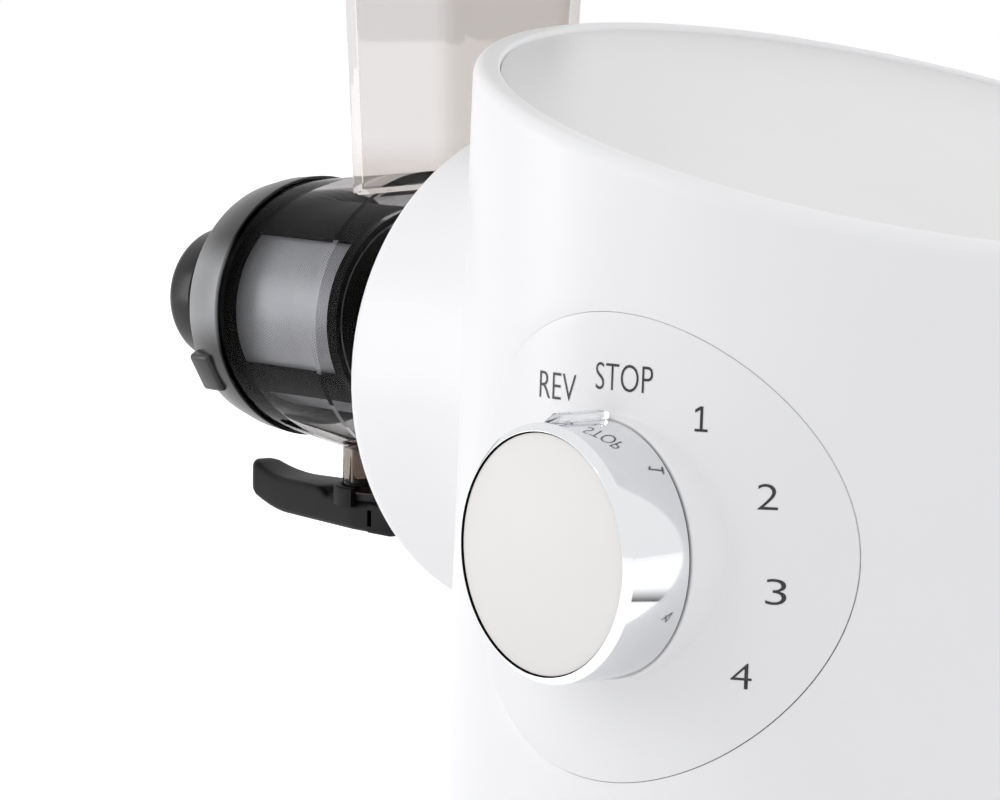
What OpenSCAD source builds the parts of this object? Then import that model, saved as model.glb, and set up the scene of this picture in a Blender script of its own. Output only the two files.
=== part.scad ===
// Cold press juicer with a round motor tower, a sloping top and a side drum.
// The tower stands on its feet, the knob faces -Y and the drum points to -X.

/* [Tower] */
// Radius of the tower at the height of the knob
tower_r = 83.1; // [80:0.1:88]
// Draft of the tower wall, in degrees; it widens downwards
tower_draft = 1.5; // [0.5:0.1:2.5]
// Height of the knob's axis above the table
knob_z = 130; // [118:1:142]
// Rise of the sloping top above the knob's axis, on the tower's axis
top_rise = 78; // [76:1:90]
// Slope of the top, in degrees; it falls away from the drum
top_slope = 14; // [8:0.5:16]
// Wall of the tower and the neck
shell_wall = 3; // [2.5:0.1:3.5]
// Width of the rolled rim round the top cover
rim_w = 5.5; // [4.8:0.1:7]
// Length over which the rim rolls from the top into the side
rim_round = 3; // [2:0.1:3.4]
// Thickness of the top cover
cover_t = 3; // [2:0.1:4]
// Drop of the cover below the rim
cover_drop = 0.7; // [0.3:0.1:1]
// Height of the rubber feet
foot_h = 5; // [4:0.5:7]
// Radius of a rubber foot
foot_r = 9; // [7:0.5:11]
// Thickness of the base plate
base_t = 3; // [2.5:0.1:4]

/* [Neck] */
// Reach of the neck beyond the tower's side
neck_proj = 19.9; // [17:0.1:26]
// Width of the neck's front beyond the drum's cone
neck_over = 10.4; // [9:0.1:12]
// Rise of the neck's axis above the knob's axis
neck_rise = 20.5; // [18:0.1:22]
// Rounding of the neck's front edge
neck_round = 6; // [4:0.1:6.5]
// Thickness of the neck's front lip, in which the drum flange sits
mouth_lip = 4; // [3.5:0.1:5]

/* [Knob and dial] */
// Radius of the knob
knob_r = 25; // [22:0.5:28]
// Depth of the knob, from the boss to its face
knob_depth = 15.7; // [12:0.1:20]
// Sideways place of the knob's axis on the tower's front
knob_x = 13.8; // [0:0.1:16]
// Radius of the dial plate that carries the figures
dial_r = 45; // [42:0.5:48]
// Thickness of the dial plate
dial_t = 1.6; // [1.2:0.1:2]
// Height of the boss under the knob, above the tower's surface
boss_rise = 0.75; // [0.5:0.05:2]
// Angle between two settings of the knob, in degrees
dial_step = 31; // [28:1:34]
// Radius of the switch spindle
spindle_r = 3; // [2.5:0.1:4]

/* [Drum] */
// Rise of the auger's axis above the knob's axis
auger_rise = 27.5; // [26:0.1:29]
// Length of the drum from the neck's front to its front rim
drum_len = 83; // [79:1:92]
// Outer radius of the drum at its front rim
drum_front_r = 29.6; // [29:0.1:31]
// Taper of the drum, in degrees; it widens towards the neck
drum_taper = 5.8; // [5:0.1:6]
// Wall of the drum, the chute and the spouts
drum_wall = 2.5; // [2:0.1:2.8]
// Thickness of the drum's rear flange
flange_t = 3.5; // [3:0.1:4]
// Outer size of the chute along the drum, at chute_gauge_z
chute_w = 44; // [41:0.5:46]
// Outer size of the chute across the drum, at chute_gauge_z
chute_d = 38; // [35:0.5:41]
// Place of the chute's middle along the drum, from the neck's front
chute_at = 27; // [26:0.5:28]
// Draft of the chute's walls, in degrees; it widens upwards
chute_draft = 2.1; // [1:0.1:2.4]
// Height of the chute's top above the auger's axis
chute_h = 127.5; // [115:1:150]
// Radius of the chute's corners
chute_round = 5; // [4:0.5:7]
// Place of the juice spout along the drum, from the neck's front
spout_at = 53; // [52:0.5:55]
// Outer radius of the juice spout
spout_r = 10; // [9:0.5:11]
// Drop of the juice spout's mouth below the auger's axis
spout_drop = 41.3; // [39.5:0.1:44]

/* [Auger and screen] */
// Outer radius of the juicing screen
screen_r = 25.4; // [24.6:0.1:25.8]
// Length of the juicing screen
screen_len = 43; // [39:1:46]
// Thickness of the screen's frame
screen_t = 1.4; // [1.2:0.1:1.8]
// Running gap between the auger's flight and the screen
flight_gap = 0.35; // [0.3:0.05:0.8]
// Radius of the auger's core at the chute
core_rear_r = 11.5; // [10:0.5:14]
// Radius of the auger's core at the front of the screen
core_front_r = 17.5; // [15:0.5:19]
// Pitch of the flight under the chute
feed_pitch = 30; // [24:1:36]
// Pitch of the flight inside the screen
press_pitch = 16; // [12:1:20]
// Thickness of the flight at its outer edge
flight_t = 2.6; // [2:0.1:4]
// Width across flats of the drive hexagon
drive_af = 10; // [8:0.5:11]

/* [End cap and nozzle] */
// Length of the end cap's ring along the drum
cap_len = 9; // [8:0.5:11]
// Outer radius of the pulp nozzle
nozzle_r = 16.4; // [15:0.1:17.4]
// Length of the pulp nozzle
nozzle_len = 25; // [22:1:30]
// Radius of the pulp nozzle's exit
nozzle_exit_r = 8.5; // [7:0.5:9.5]
// Turn of the pulp nozzle between its loose and its tight stop, in degrees
nozzle_turn = 90; // [60:5:120]

/* [Juice flap] */
// Thickness of the flap and its lever
flap_t = 7; // [5.5:0.5:8]
// Width of the flap at the spout
flap_w = 21; // [20:0.5:24]
// Width of the lever at its tip
lever_w = 9; // [7:0.5:14]
// Length of the lever beyond the spout's axis
lever_len = 48.5; // [40:0.5:56]
// Radius of the lever's upward curve
lever_bend = 112; // [90:2:300]
// Radius of the flap's hinge pin
flap_pin_r = 1.5; // [1.2:0.1:2]

/* [Hopper and pusher] */
// Radius of the tray's ends at the rim
tray_r = 55; // [50:1:60]
// Half distance between the centres of the tray's two ends
tray_half = 26; // [18:1:34]
// Height of the tray
tray_h = 30; // [24:1:38]
// Wall of the tray
tray_wall = 2.2; // [1.8:0.1:3]
// Length of the pusher below the tray's floor
pusher_len = 50; // [40:1:60]
// Height of the pusher above the tray's floor
pusher_top = 62; // [50:1:70]

/* [Drive] */
// Module of the first gear pair
module_1 = 1; // [0.95:0.01:1.05]
// Module of the second gear pair
module_2 = 1.5; // [1.45:0.01:1.52]
// Teeth of the motor pinion
motor_teeth = 12; // [12:1:13]
// Teeth of the large wheel of the reduction gear
wheel_teeth = 60; // [57:1:62]
// Teeth of the small pinion of the reduction gear
pinion_teeth = 13; // [12:1:13]
// Teeth of the output gear
output_teeth = 52; // [50:1:53]
// Radius of the motor's can
motor_r = 32; // [28:0.5:33]
// Length of the motor's can
motor_len = 70; // [60:1:74]
// Radius of the rotor's shaft
rotor_shaft_r = 4; // [3:0.1:4.5]
// Radius of the output shaft behind the hub
output_shaft_r = 6; // [5:0.1:7]
// Radius of the drive hub
hub_r = 10; // [9:0.1:11]
// Depth of the gearbox
gearbox_depth = 33; // [32:0.5:36]

/* [Fits] */
// Radial running clearance of shafts and pins
run_gap = 0.05; // [0.03:0.01:0.08]
// Gap between pieces that slide or lift apart
slip_gap = 0.4; // [0.3:0.05:0.5]
// Gap between fixed mouldings
seam_gap = 0.15; // [0.1:0.01:0.3]

/* [Hidden] */
$fn = 72;
cut = 1;
far = 400;

// Heights
base_z = foot_h;
top_z = knob_z + top_rise;
neck_z = knob_z + neck_rise;
axis_z = knob_z + auger_rise;
gauge_rise = 72.5;

// Reaches: distances from the tower's axis towards the drum
neck_end = tower_r + neck_proj;
socket_front = neck_end - mouth_lip;
socket_t = 3.2;
gearbox_front = tower_r - shell_wall - 9.5;
gearbox_rear = gearbox_front - gearbox_depth;
plate_t = 3;
bracket_t = 2.5;
motor_front = gearbox_rear - bracket_t;
motor_rear = motor_front - motor_len;
bell_t = 5;
fan_t = 8;
fan_gap = 3;
drum_front = neck_end + drum_len;
cap_end = drum_front + cap_len + slip_gap;
cap_inner = drum_front + slip_gap + 4.2;
nozzle_end = cap_end + nozzle_len + 1.2;
chute_reach = neck_end + chute_at;
spout_reach = neck_end + spout_at;

// Sizes that several pieces share
lip_t = max(cover_drop + cover_t, rim_round + 0.5);
ledge_w = 2.5;
ledge_t = 3;
bore_r = drum_front_r - drum_wall;
screen_front = drum_front - 0.5;
screen_rear = screen_front - screen_len;
screen_ring = 3.5;
mesh_t = 0.6;
mesh_r = screen_r - screen_t;
flight_r = mesh_r - mesh_t - flight_gap;
auger_rear = neck_end - mouth_lip + 1.4;
disc_t = 2.6;
throat_t = 4;
spout_mouth_z = axis_z - spout_drop;
pad_t = 1.6;
flap_top_z = spout_mouth_z - pad_t;
flap_pin_reach = spout_reach - spout_r - 4;
flap_pin_z = flap_top_z - flap_t / 2;
lug_w = 6;
lug_r = flap_pin_r + 2.4;
chute_top_z = axis_z + chute_h;
tray_floor_z = chute_top_z + seam_gap;

// The drum's outer radius at a reach
function drum_r(reach) = drum_front_r + (drum_front - reach) * tan(drum_taper);

// The neck goes round the drum's cone, which lies above the neck's own axis
neck_r = drum_r(neck_end) + axis_z - neck_z + neck_over;
neck_from = tower_r / 2;
mouth_r = neck_r - neck_round - 1;
flange_r = mouth_r - slip_gap;

// The tower's outer radius at a height
function tower_at(z) = tower_r + (knob_z - z) * tan(tower_draft);

// The tower's surface in front of the knob, and the planes that the knob needs
front_y = sqrt(pow(tower_r, 2) - pow(knob_x, 2));
boss_y = front_y + boss_rise;
knob_back_y = boss_y + 0.3;
knob_front_y = knob_back_y + knob_depth;
switch_y = front_y - shell_wall - 4;
nut_y = switch_y + 3.3;
nut_pocket_r = 9.3;

// Gear layout: output shaft above, reduction gear below it, motor behind
centre_1 = module_1 * (motor_teeth + wheel_teeth) / 2;
centre_2 = module_2 * (pinion_teeth + output_teeth) / 2;
motor_angle = 40;
mid_z = axis_z - centre_2;
motor_y = centre_1 * sin(motor_angle);
motor_z = mid_z + centre_1 * cos(motor_angle);
wheel_w = 8;
output_w = 12;
wheel_rear = gearbox_rear + plate_t + 1.2;
output_rear = wheel_rear + wheel_w + 2.8;
pinion_front = output_rear + output_w + 0.8;

// Cord gland at the back
gland_z = 27;
gland_r = 6;
gland_bore = 3.6;
gland_out = tower_at(gland_z) + 2.8;

// The outer box, whose bottom centre is the origin
tower_x = (nozzle_end - tower_at(base_z)) / 2;
tower_y = (knob_front_y - max(gland_out, tower_at(base_z))) / 2;

// Puts children given about the tower's axis into the part's own frame
module at_tower() translate([tower_x, tower_y, 0]) children();

// Lays children along the drum: local Z is the reach, local X is up
module along(z, y = 0) at_tower() translate([0, y, z]) rotate([0, -90, 0]) children();

// Lays children on the knob's axis: local Z points out of the front
module at_knob() at_tower() translate([knob_x, 0, knob_z]) rotate([90, 0, 0]) children();

module ring(r_out, r_in, h) {
    difference() {
        cylinder(r = r_out, h = h);
        translate([0, 0, -cut]) cylinder(r = r_in, h = h + 2 * cut);
    }
}

// A hexagonal bar by its width across flats
module hex_bar(af, h) cylinder(r = af / sqrt(3), h = h, $fn = 6);

// The tower's tapered solid, drawn in by inset all round
module tower_solid(inset, z0, z1) {
    translate([0, 0, z0])
        cylinder(r1 = tower_at(z0) - inset, r2 = tower_at(z1) - inset, h = z1 - z0);
}

// Everything above the sloping top, lowered by depth square to the slope
module above_slope(depth) {
    translate([0, 0, top_z]) rotate([0, top_slope, 0])
        translate([-far / 2, -far / 2, -depth]) cube(far);
}

module tower_below(inset, z0, depth) {
    difference() {
        tower_solid(inset, z0, top_z + 60);
        above_slope(depth);
    }
}

// Tool that rolls the rim: a wedge section in each radial plane, swept round
rim_steps = 60;
function slope_at(a) = tan(top_slope) * cos(a);
function rim_r(a, inset, depth) = let (t = tan(tower_draft), drop = depth / cos(top_slope))
    (tower_r - inset + (knob_z - top_z + drop) * t) / (1 - slope_at(a) * t);
function rim_point(a, inset, depth) = let (r = rim_r(a, inset, depth))
    [r, top_z - depth / cos(top_slope) - r * slope_at(a)];
function rim_section(a) = [
    rim_point(a, -rim_round / 3, 2 * rim_round), rim_point(a, rim_round / 4, rim_round / 4),
    rim_point(a, 2 * rim_round, -rim_round / 3), rim_point(a, -rim_round / 3, -rim_round / 3)
];
module rim_tool() {
    points = [for (k = [0 : rim_steps - 1], p = rim_section(360 * k / rim_steps))
        [p[0] * cos(360 * k / rim_steps), p[0] * sin(360 * k / rim_steps), p[1]]];
    faces = [for (k = [0 : rim_steps - 1], i = [0 : 3])
        let (k2 = (k + 1) % rim_steps, i2 = (i + 1) % 4)
        each [[4 * k + i, 4 * k2 + i2, 4 * k + i2], [4 * k + i, 4 * k2 + i, 4 * k2 + i2]]];
    polyhedron(points, faces);
}

// Dial outline cut into the tower's wall from the front
module dial_prism(r) {
    translate([knob_x, 0, knob_z]) rotate([90, 0, 0]) cylinder(r = r, h = far);
}

module neck_outer() {
    rotate_extrude() {
        translate([0, neck_from]) square([neck_r, neck_end - neck_round - neck_from]);
        translate([0, neck_from]) square([neck_r - neck_round, neck_end - neck_from]);
        translate([neck_r - neck_round, neck_end - neck_round]) circle(r = neck_round);
    }
}

pillar_at = 55;
pillar_h = 22;
pillar_r = 5;
screw_r = 1.75;
function pillar_reach() = tower_at(base_z) - shell_wall - pillar_r + 1;
module on_pillars() {
    for (a = [0 : 3]) rotate([0, 0, pillar_at + 90 * a - 10 * (a % 2)])
        translate([pillar_reach(), 0, 0]) children();
}

module body_shell() {
    color("#F5F6F8") at_tower() difference() {
        union() {
            difference() {
                union() {
                    tower_below(0, base_z, 0);
                    translate([0, 0, neck_z]) rotate([0, -90, 0]) neck_outer();
                }
                tower_below(shell_wall, base_z - cut, lip_t + ledge_t);
                tower_below(rim_w + ledge_w, base_z - cut, -cut);
                difference() {
                    tower_below(rim_w, base_z - cut, -cut);
                    tower_below(-cut, base_z - 2 * cut, lip_t);
                }
                translate([0, 0, neck_z]) rotate([0, -90, 0])
                    cylinder(r = neck_r - shell_wall, h = socket_front);
                translate([0, 0, neck_z]) rotate([0, -90, 0])
                    cylinder(r = mouth_r, h = neck_end + cut);
                difference() {
                    dial_prism(dial_r + 0.3);
                    tower_solid(dial_t + 0.05, 0, far);
                }
            }
            // Flat seat inside the wall for the speed switch
            intersection() {
                translate([knob_x, -switch_y, knob_z]) rotate([90, 0, 0])
                    cylinder(r = 11, h = shell_wall + 6);
                tower_solid(dial_t + 0.05, 0, far);
            }
            intersection() {
                on_pillars() translate([0, 0, base_z + base_t]) cylinder(r = pillar_r, h = pillar_h);
                tower_solid(shell_wall / 2, 0, far);
            }
        }
        translate([knob_x, -switch_y + cut, knob_z]) rotate([90, 0, 0]) cylinder(r = 4.7, h = far);
        translate([knob_x, -nut_y, knob_z]) rotate([90, 0, 0]) cylinder(r = nut_pocket_r, h = far);
        on_pillars() cylinder(r = screw_r, h = base_z + base_t + pillar_h - 4);
        translate([0, 0, gland_z]) rotate([-90, 0, 0]) cylinder(r = gland_r, h = far);
        rim_tool();
    }
}

module top_cover() {
    color("#DCDCDE") at_tower() difference() {
        tower_below(rim_w + seam_gap, base_z, cover_drop);
        tower_below(-cut, base_z - cut, lip_t - 0.02);
    }
}

module dial_plate() {
    color("#F3F4F6") at_tower() difference() {
        union() {
            intersection() {
                dial_prism(dial_r);
                tower_solid(0, 0, far);
            }
            // Round boss that brings the curved front out to the knob's flat back
            translate([knob_x, 0, knob_z]) rotate([90, 0, 0]) cylinder(r = knob_r + 0.6, h = boss_y);
        }
        tower_solid(dial_t, 0, far);
        translate([knob_x, 0, knob_z]) rotate([90, 0, 0]) cylinder(r = nut_pocket_r, h = far);
        translate([knob_x, -boss_y, knob_z]) rotate([90, 0, 0]) cylinder(r = knob_r + 0.6, h = far);
    }
}

base_r = tower_at(base_z) - shell_wall - 0.3;
foot_reach = base_r - foot_r - 8;
vent_count = 9;
board_reach = 54;
module base_plate() {
    color("#E4E5E7") at_tower() difference() {
        union() {
            translate([0, 0, base_z]) cylinder(r = base_r, h = base_t);
            // Slotted posts that hold the control board
            for (s = [-1, 1]) translate([board_reach - 4, s * 26 - 3, base_z]) cube([9.6, 6, 18]);
            translate([-motor_front - 4, -30, base_z]) cube([34, 60, base_t + 2]);
        }
        on_pillars() translate([0, 0, base_z - cut]) cylinder(r = screw_r + 0.2, h = far);
        for (i = [0 : vent_count - 1])
            translate([-10, (i - (vent_count - 1) / 2) * 8 - 1.5, base_z - cut]) cube([46, 3, far]);
        for (a = [0 : 3]) rotate([0, 0, 45 + 90 * a])
            translate([foot_reach, 0, base_z - cut]) cylinder(r = 3.2, h = far);
        for (s = [-1, 1]) translate([board_reach, s * 26 - 3 - cut, base_z + base_t])
            cube([1.8, 6 + 2 * cut, far]);
        for (s = [-1, 1]) translate([-motor_front + 20, s * 20, base_z - cut])
            cylinder(r = 1.7, h = far);
    }
}

module rubber_feet() {
    color("#3A3A3C") at_tower() for (a = [0 : 3]) rotate([0, 0, 45 + 90 * a])
        translate([foot_reach, 0, 0]) {
            cylinder(r1 = foot_r - 1, r2 = foot_r, h = 1.5);
            translate([0, 0, 1.5]) cylinder(r = foot_r, h = base_z - 1.5);
            translate([0, 0, base_z]) cylinder(r = 3.2, h = base_t);
            translate([0, 0, base_z + base_t]) cylinder(r1 = 4.2, r2 = 3, h = 2);
        }
}

// Pan-head screw pointing up, its head's underside at z = 0
module screw(r, length, head_r) {
    cylinder(r = r, h = length);
    translate([0, 0, -1.6]) difference() {
        cylinder(r1 = head_r - 0.6, r2 = head_r, h = 1.6);
        translate([0, 0, -cut]) hex_bar(2.2, cut + 0.9);
    }
}

module base_screws() {
    color("#8C8E92") at_tower() on_pillars() translate([0, 0, base_z]) screw(screw_r, base_t + 12, 3.4);
}

module cord_gland() {
    wall_y = tower_at(gland_z);
    color("#2C2C2E") at_tower() difference() {
        union() {
            difference() {
                translate([0, 0, gland_z]) rotate([-90, 0, 0]) translate([0, 0, wall_y - 2])
                    cylinder(r1 = gland_r + 3.5, r2 = gland_r + 2, h = gland_out + 2 - wall_y);
                tower_solid(-0.02, 0, far);
            }
            translate([0, 0, gland_z]) rotate([-90, 0, 0]) {
                translate([0, 0, wall_y - shell_wall - 5])
                    cylinder(r = gland_r - 0.02, h = shell_wall + 6);
                translate([0, 0, wall_y - shell_wall - 4]) hex_bar(2 * gland_r + 4, 3.4);
            }
        }
        translate([0, 0, gland_z]) rotate([-90, 0, 0]) cylinder(r = gland_bore, h = far);
    }
}

module drum_socket() {
    color("#E9EAEC") along(neck_z) difference() {
        union() {
            translate([0, 0, socket_front - socket_t])
                cylinder(r = neck_r - shell_wall - seam_gap, h = socket_t);
            translate([axis_z - neck_z, 0, socket_front - socket_t - 4])
                cylinder(r = hub_r + 8, h = 4);
        }
        translate([axis_z - neck_z, 0, 0]) cylinder(r = hub_r + 5, h = socket_front - socket_t + 0.6);
        translate([axis_z - neck_z, 0, 0]) cylinder(r = hub_r + 1.2, h = far);
    }
}

// Outline of the gearbox: two circles joined by their common tangents
function tangent_angle() = asin((case_top_r - case_low_r) / centre_2);
case_top_r = module_2 * (output_teeth + 2) / 2 + 4;
case_low_r = module_1 * (wheel_teeth + 2) / 2 + 4;
flank_in = 0.5;
module case_outline(inset) {
    a = tangent_angle();
    r1 = case_top_r - inset;
    r2 = case_low_r - inset;
    // The flanks lie a little inside the tangents, so that they cross the circles cleanly
    s1 = r1 - flank_in;
    s2 = r2 - flank_in;
    circle(r = r1);
    translate([-centre_2, 0]) circle(r = r2);
    polygon([
        [-s1 * sin(a), s1 * cos(a)], [-centre_2 - s2 * sin(a), s2 * cos(a)],
        [-centre_2 - s2 * sin(a), -s2 * cos(a)], [-s1 * sin(a), -s1 * cos(a)]
    ]);
}

// Four screw lugs round the case, as [up, across] from the output axis
case_lug_r = 5;
lug_points = [
    for (a = [95, -95]) [(case_top_r + 1) * cos(a), (case_top_r + 1) * sin(a)],
    for (a = [128, -128]) [-centre_2 + (case_low_r + 1) * cos(a), (case_low_r + 1) * sin(a)]
];
module on_lugs() for (p = lug_points) translate([p[0], p[1], 0]) children();
module pinion_hole(h) {
    translate([motor_z - axis_z, motor_y, 0]) cylinder(r = module_1 * (motor_teeth / 2 + 1) + 2.5, h = h);
}

module gearbox_case() {
    color("#5B5E63") along(axis_z) difference() {
        union() {
            translate([0, 0, gearbox_rear]) linear_extrude(gearbox_depth - plate_t) case_outline(0);
            on_lugs() translate([0, 0, gearbox_rear]) cylinder(r = case_lug_r, h = gearbox_depth - plate_t);
        }
        difference() {
            translate([0, 0, gearbox_rear + plate_t]) linear_extrude(gearbox_depth) case_outline(plate_t);
            // Bearing boss of the output shaft
            cylinder(r = output_shaft_r + 4, h = output_rear - 0.6);
            translate([-centre_2, 0, 0]) cylinder(r = 8, h = wheel_rear - 0.3);
        }
        translate([0, 0, gearbox_rear - cut]) cylinder(r = output_shaft_r + run_gap, h = gearbox_depth);
        translate([-centre_2, 0, gearbox_rear - cut]) cylinder(r = axle_r, h = gearbox_depth);
        translate([0, 0, gearbox_rear - cut]) pinion_hole(plate_t + 2 * cut);
        on_lugs() translate([0, 0, gearbox_rear - cut]) cylinder(r = 1.7, h = gearbox_depth);
    }
}

axle_r = 4;
bearing_r = hub_r + 4;
bearing_len = 9;
module gearbox_cover() {
    color("#5B5E63") along(axis_z) difference() {
        union() {
            translate([0, 0, gearbox_front - plate_t]) linear_extrude(plate_t) case_outline(0);
            on_lugs() translate([0, 0, gearbox_front - plate_t]) cylinder(r = case_lug_r, h = plate_t);
            translate([0, 0, gearbox_front - plate_t]) cylinder(r = bearing_r + 3, h = plate_t + bearing_len);
            translate([-centre_2, 0, gearbox_front - plate_t]) cylinder(r = 8, h = plate_t + 2);
        }
        translate([0, 0, gearbox_front - plate_t - cut]) cylinder(r = hub_r + 1, h = far);
        translate([0, 0, gearbox_front]) cylinder(r = bearing_r, h = far);
        translate([-centre_2, 0, gearbox_front - plate_t - cut]) cylinder(r = axle_r, h = plate_t + cut);
        on_lugs() translate([0, 0, gearbox_front - plate_t - cut]) cylinder(r = 1.7, h = far);
    }
}

module gearbox_screws() {
    color("#8C8E92") along(axis_z) on_lugs() translate([0, 0, gearbox_front])
        mirror([0, 0, 1]) screw(1.65, gearbox_depth + bracket_t - 0.2, 3);
}

module output_bearing() {
    color("#B08D4A") along(axis_z) translate([0, 0, gearbox_front])
        ring(bearing_r - 0.02, hub_r + run_gap, bearing_len);
}

module hub_seal() {
    color("#303033") along(axis_z) translate([0, 0, socket_front - socket_t - 3.4])
        ring(hub_r + 4.95, hub_r + 0.1, 3.8);
}

module gear_axle() {
    color("#A9ABAF") along(mid_z) translate([0, 0, gearbox_rear])
        cylinder(r = axle_r - 0.02, h = gearbox_depth);
}

bracket_half = 41;
module motor_bracket() {
    low = base_z + base_t + 2;
    high = axis_z + case_top_r - 6;
    color("#A7AAAD") difference() {
        union() {
            at_tower() translate([-gearbox_rear, -bracket_half, low])
                cube([bracket_t, 2 * bracket_half, high - low]);
            at_tower() translate([-gearbox_rear, -28, low]) cube([28, 56, bracket_t]);
        }
        along(motor_z, motor_y) translate([0, 0, motor_front - cut])
            cylinder(r = module_1 * (motor_teeth / 2 + 1) + 2.5, h = bracket_t + 2 * cut);
        along(axis_z) on_lugs() translate([0, 0, motor_front - cut]) cylinder(r = 1.7, h = bracket_t + 2 * cut);
        at_tower() for (s = [-1, 1]) translate([-motor_front + 20, s * 20, low - cut])
            cylinder(r = 1.7, h = far);
    }
}

module bracket_screws() {
    color("#8C8E92") at_tower() for (s = [-1, 1])
        translate([-motor_front + 20, s * 20, base_z]) screw(1.65, base_t + bracket_t + 4, 3.2);
}

// The motor: a can with two magnets, closed by an end bell
bush_r = rotor_shaft_r + 3;
module motor_can() {
    color("#74777C") along(motor_z, motor_y) difference() {
        union() {
            translate([0, 0, motor_rear]) cylinder(r = motor_r, h = motor_len);
        }
        translate([0, 0, motor_rear - cut]) cylinder(r = motor_r - 1.8, h = motor_len - 3 + cut);
        translate([0, 0, motor_front - 3 - cut]) cylinder(r = bush_r, h = 3 + 2 * cut);
    }
}

module motor_end_bell() {
    color("#3C3E42") along(motor_z, motor_y) difference() {
        union() {
            translate([0, 0, motor_rear - bell_t]) cylinder(r = motor_r, h = bell_t);
            translate([0, 0, motor_rear]) cylinder(r = motor_r - 1.85, h = 2);
        }
        translate([0, 0, motor_rear - bell_t - cut]) cylinder(r = bush_r, h = bell_t + 4);
        for (a = [0 : 7]) rotate([0, 0, 45 * a])
            translate([bush_r + 4, -3, motor_rear - bell_t - cut]) cube([motor_r - bush_r - 9, 6, bell_t + 4]);
    }
}

rotor_r = motor_r - 12;
module field_magnets() {
    color("#4A4B4E") along(motor_z, motor_y) translate([0, 0, motor_rear + 10])
        for (s = [0, 1]) rotate([0, 0, 180 * s]) intersection() {
            ring(motor_r - 1.85, rotor_r + 0.8, motor_len - 22);
            translate([4, -motor_r, -cut]) cube([motor_r, 2 * motor_r, motor_len]);
        }
}

module motor_bushes() {
    color("#B08D4A") along(motor_z, motor_y) {
        translate([0, 0, motor_front - 3]) ring(bush_r - 0.02, rotor_shaft_r + run_gap, 3);
        translate([0, 0, motor_rear - bell_t]) ring(bush_r - 0.02, rotor_shaft_r + run_gap, bell_t + 2);
    }
}

fan_rear = motor_rear - bell_t - fan_gap - fan_t;
module rotor_shaft() {
    color("#A9ABAF") along(motor_z, motor_y) translate([0, 0, fan_rear - 2])
        cylinder(r = rotor_shaft_r, h = wheel_rear + wheel_w + 1 - fan_rear + 2);
}

slot_count = 10;
core_inset = 14;
core_len = motor_len - 2 * core_inset - 2;
module rotor_core() {
    color("#8A6A48") along(motor_z, motor_y) translate([0, 0, motor_rear + core_inset]) difference() {
        cylinder(r = rotor_r, h = core_len);
        translate([0, 0, -cut]) cylinder(r = rotor_shaft_r + 0.02, h = motor_len);
        for (a = [0 : slot_count - 1]) rotate([0, 0, 360 * a / slot_count])
            translate([rotor_r - 6, -1.2, -cut]) cube([8, 2.4, motor_len]);
    }
}

// Involute spur gear outline with a tooth centred on local X
pressure = 25;
backlash = 0.1;
function involute_deg(r, base) = let (k = sqrt(max(0, pow(r / base, 2) - 1))) k * 180 / PI - atan(k);
function flank_angle(m, n, r) = let (pitch = m * n / 2, base = pitch * cos(pressure))
    90 / n - backlash / pitch * 90 / PI + involute_deg(pitch, base) - involute_deg(max(r, base), base);
function gear_points(m, n) = let (
        pitch = m * n / 2,
        root = pitch - 1.25 * m,
        tip = pitch + 0.95 * m,
        low = max(root + 0.05, pitch * cos(pressure)),
        radii = [root, for (i = [0 : 3]) low + (tip - low) * i / 3]
    ) [for (t = [0 : n - 1]) let (a = 360 * t / n) each concat(
        [for (r = radii) let (b = a - flank_angle(m, n, r)) [r * cos(b), r * sin(b)]],
        [for (i = [4 : -1 : 0]) let (r = radii[i], b = a + flank_angle(m, n, r)) [r * cos(b), r * sin(b)]]
    )];
module gear(m, n, h) linear_extrude(h) polygon(gear_points(m, n));

module motor_pinion() {
    color("#C7C9CC") along(motor_z, motor_y) translate([0, 0, gearbox_rear + plate_t]) difference() {
        rotate([0, 0, motor_angle + 180 + 180 / motor_teeth])
            gear(module_1, motor_teeth, wheel_rear + wheel_w - gearbox_rear - plate_t);
        translate([0, 0, -cut]) cylinder(r = rotor_shaft_r + 0.02, h = far);
    }
}

blade_count = 8;
module cooling_fan() {
    color("#2E3033") along(motor_z, motor_y) translate([0, 0, fan_rear]) difference() {
        union() {
            cylinder(r = 9, h = fan_t);
            translate([0, 0, fan_t - 1.5]) cylinder(r = motor_r - 6, h = 1.5);
            for (a = [0 : blade_count - 1]) rotate([0, 0, 360 * a / blade_count])
                translate([8, -0.8, 0]) cube([motor_r - 13, 1.6, fan_t]);
        }
        translate([0, 0, -cut]) cylinder(r = rotor_shaft_r + 0.02, h = fan_t + 2 * cut);
    }
}

module reduction_gear() {
    color("#E8E2D0") along(mid_z) difference() {
        union() {
            translate([0, 0, wheel_rear]) difference() {
                rotate([0, 0, motor_angle]) gear(module_1, wheel_teeth, wheel_w);
                translate([0, 0, -cut]) ring(module_1 * wheel_teeth / 2 - 5, 11, 2 + cut);
            }
            translate([0, 0, wheel_rear + wheel_w - cut])
                gear(module_2, pinion_teeth, pinion_front - wheel_rear - wheel_w + cut);
        }
        translate([0, 0, wheel_rear - cut]) cylinder(r = axle_r - 0.02 + run_gap, h = far);
    }
}

module output_gear() {
    color("#C9CBCE") along(axis_z) translate([0, 0, output_rear]) difference() {
        rotate([0, 0, 180 + 180 / output_teeth]) gear(module_2, output_teeth, output_w);
        for (z = [-cut, output_w - 3]) translate([0, 0, z])
            ring(module_2 * output_teeth / 2 - 6, output_shaft_r + 7, 3 + cut);
        translate([0, 0, -cut]) cylinder(r = output_shaft_r + 0.02, h = output_w + 2 * cut);
        for (a = [0 : 5]) rotate([0, 0, 60 * a]) translate([(output_shaft_r + 7
            + module_2 * output_teeth / 2 - 6) / 2, 0, -cut]) cylinder(r = 5, h = output_w + 2 * cut);
    }
}

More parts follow.
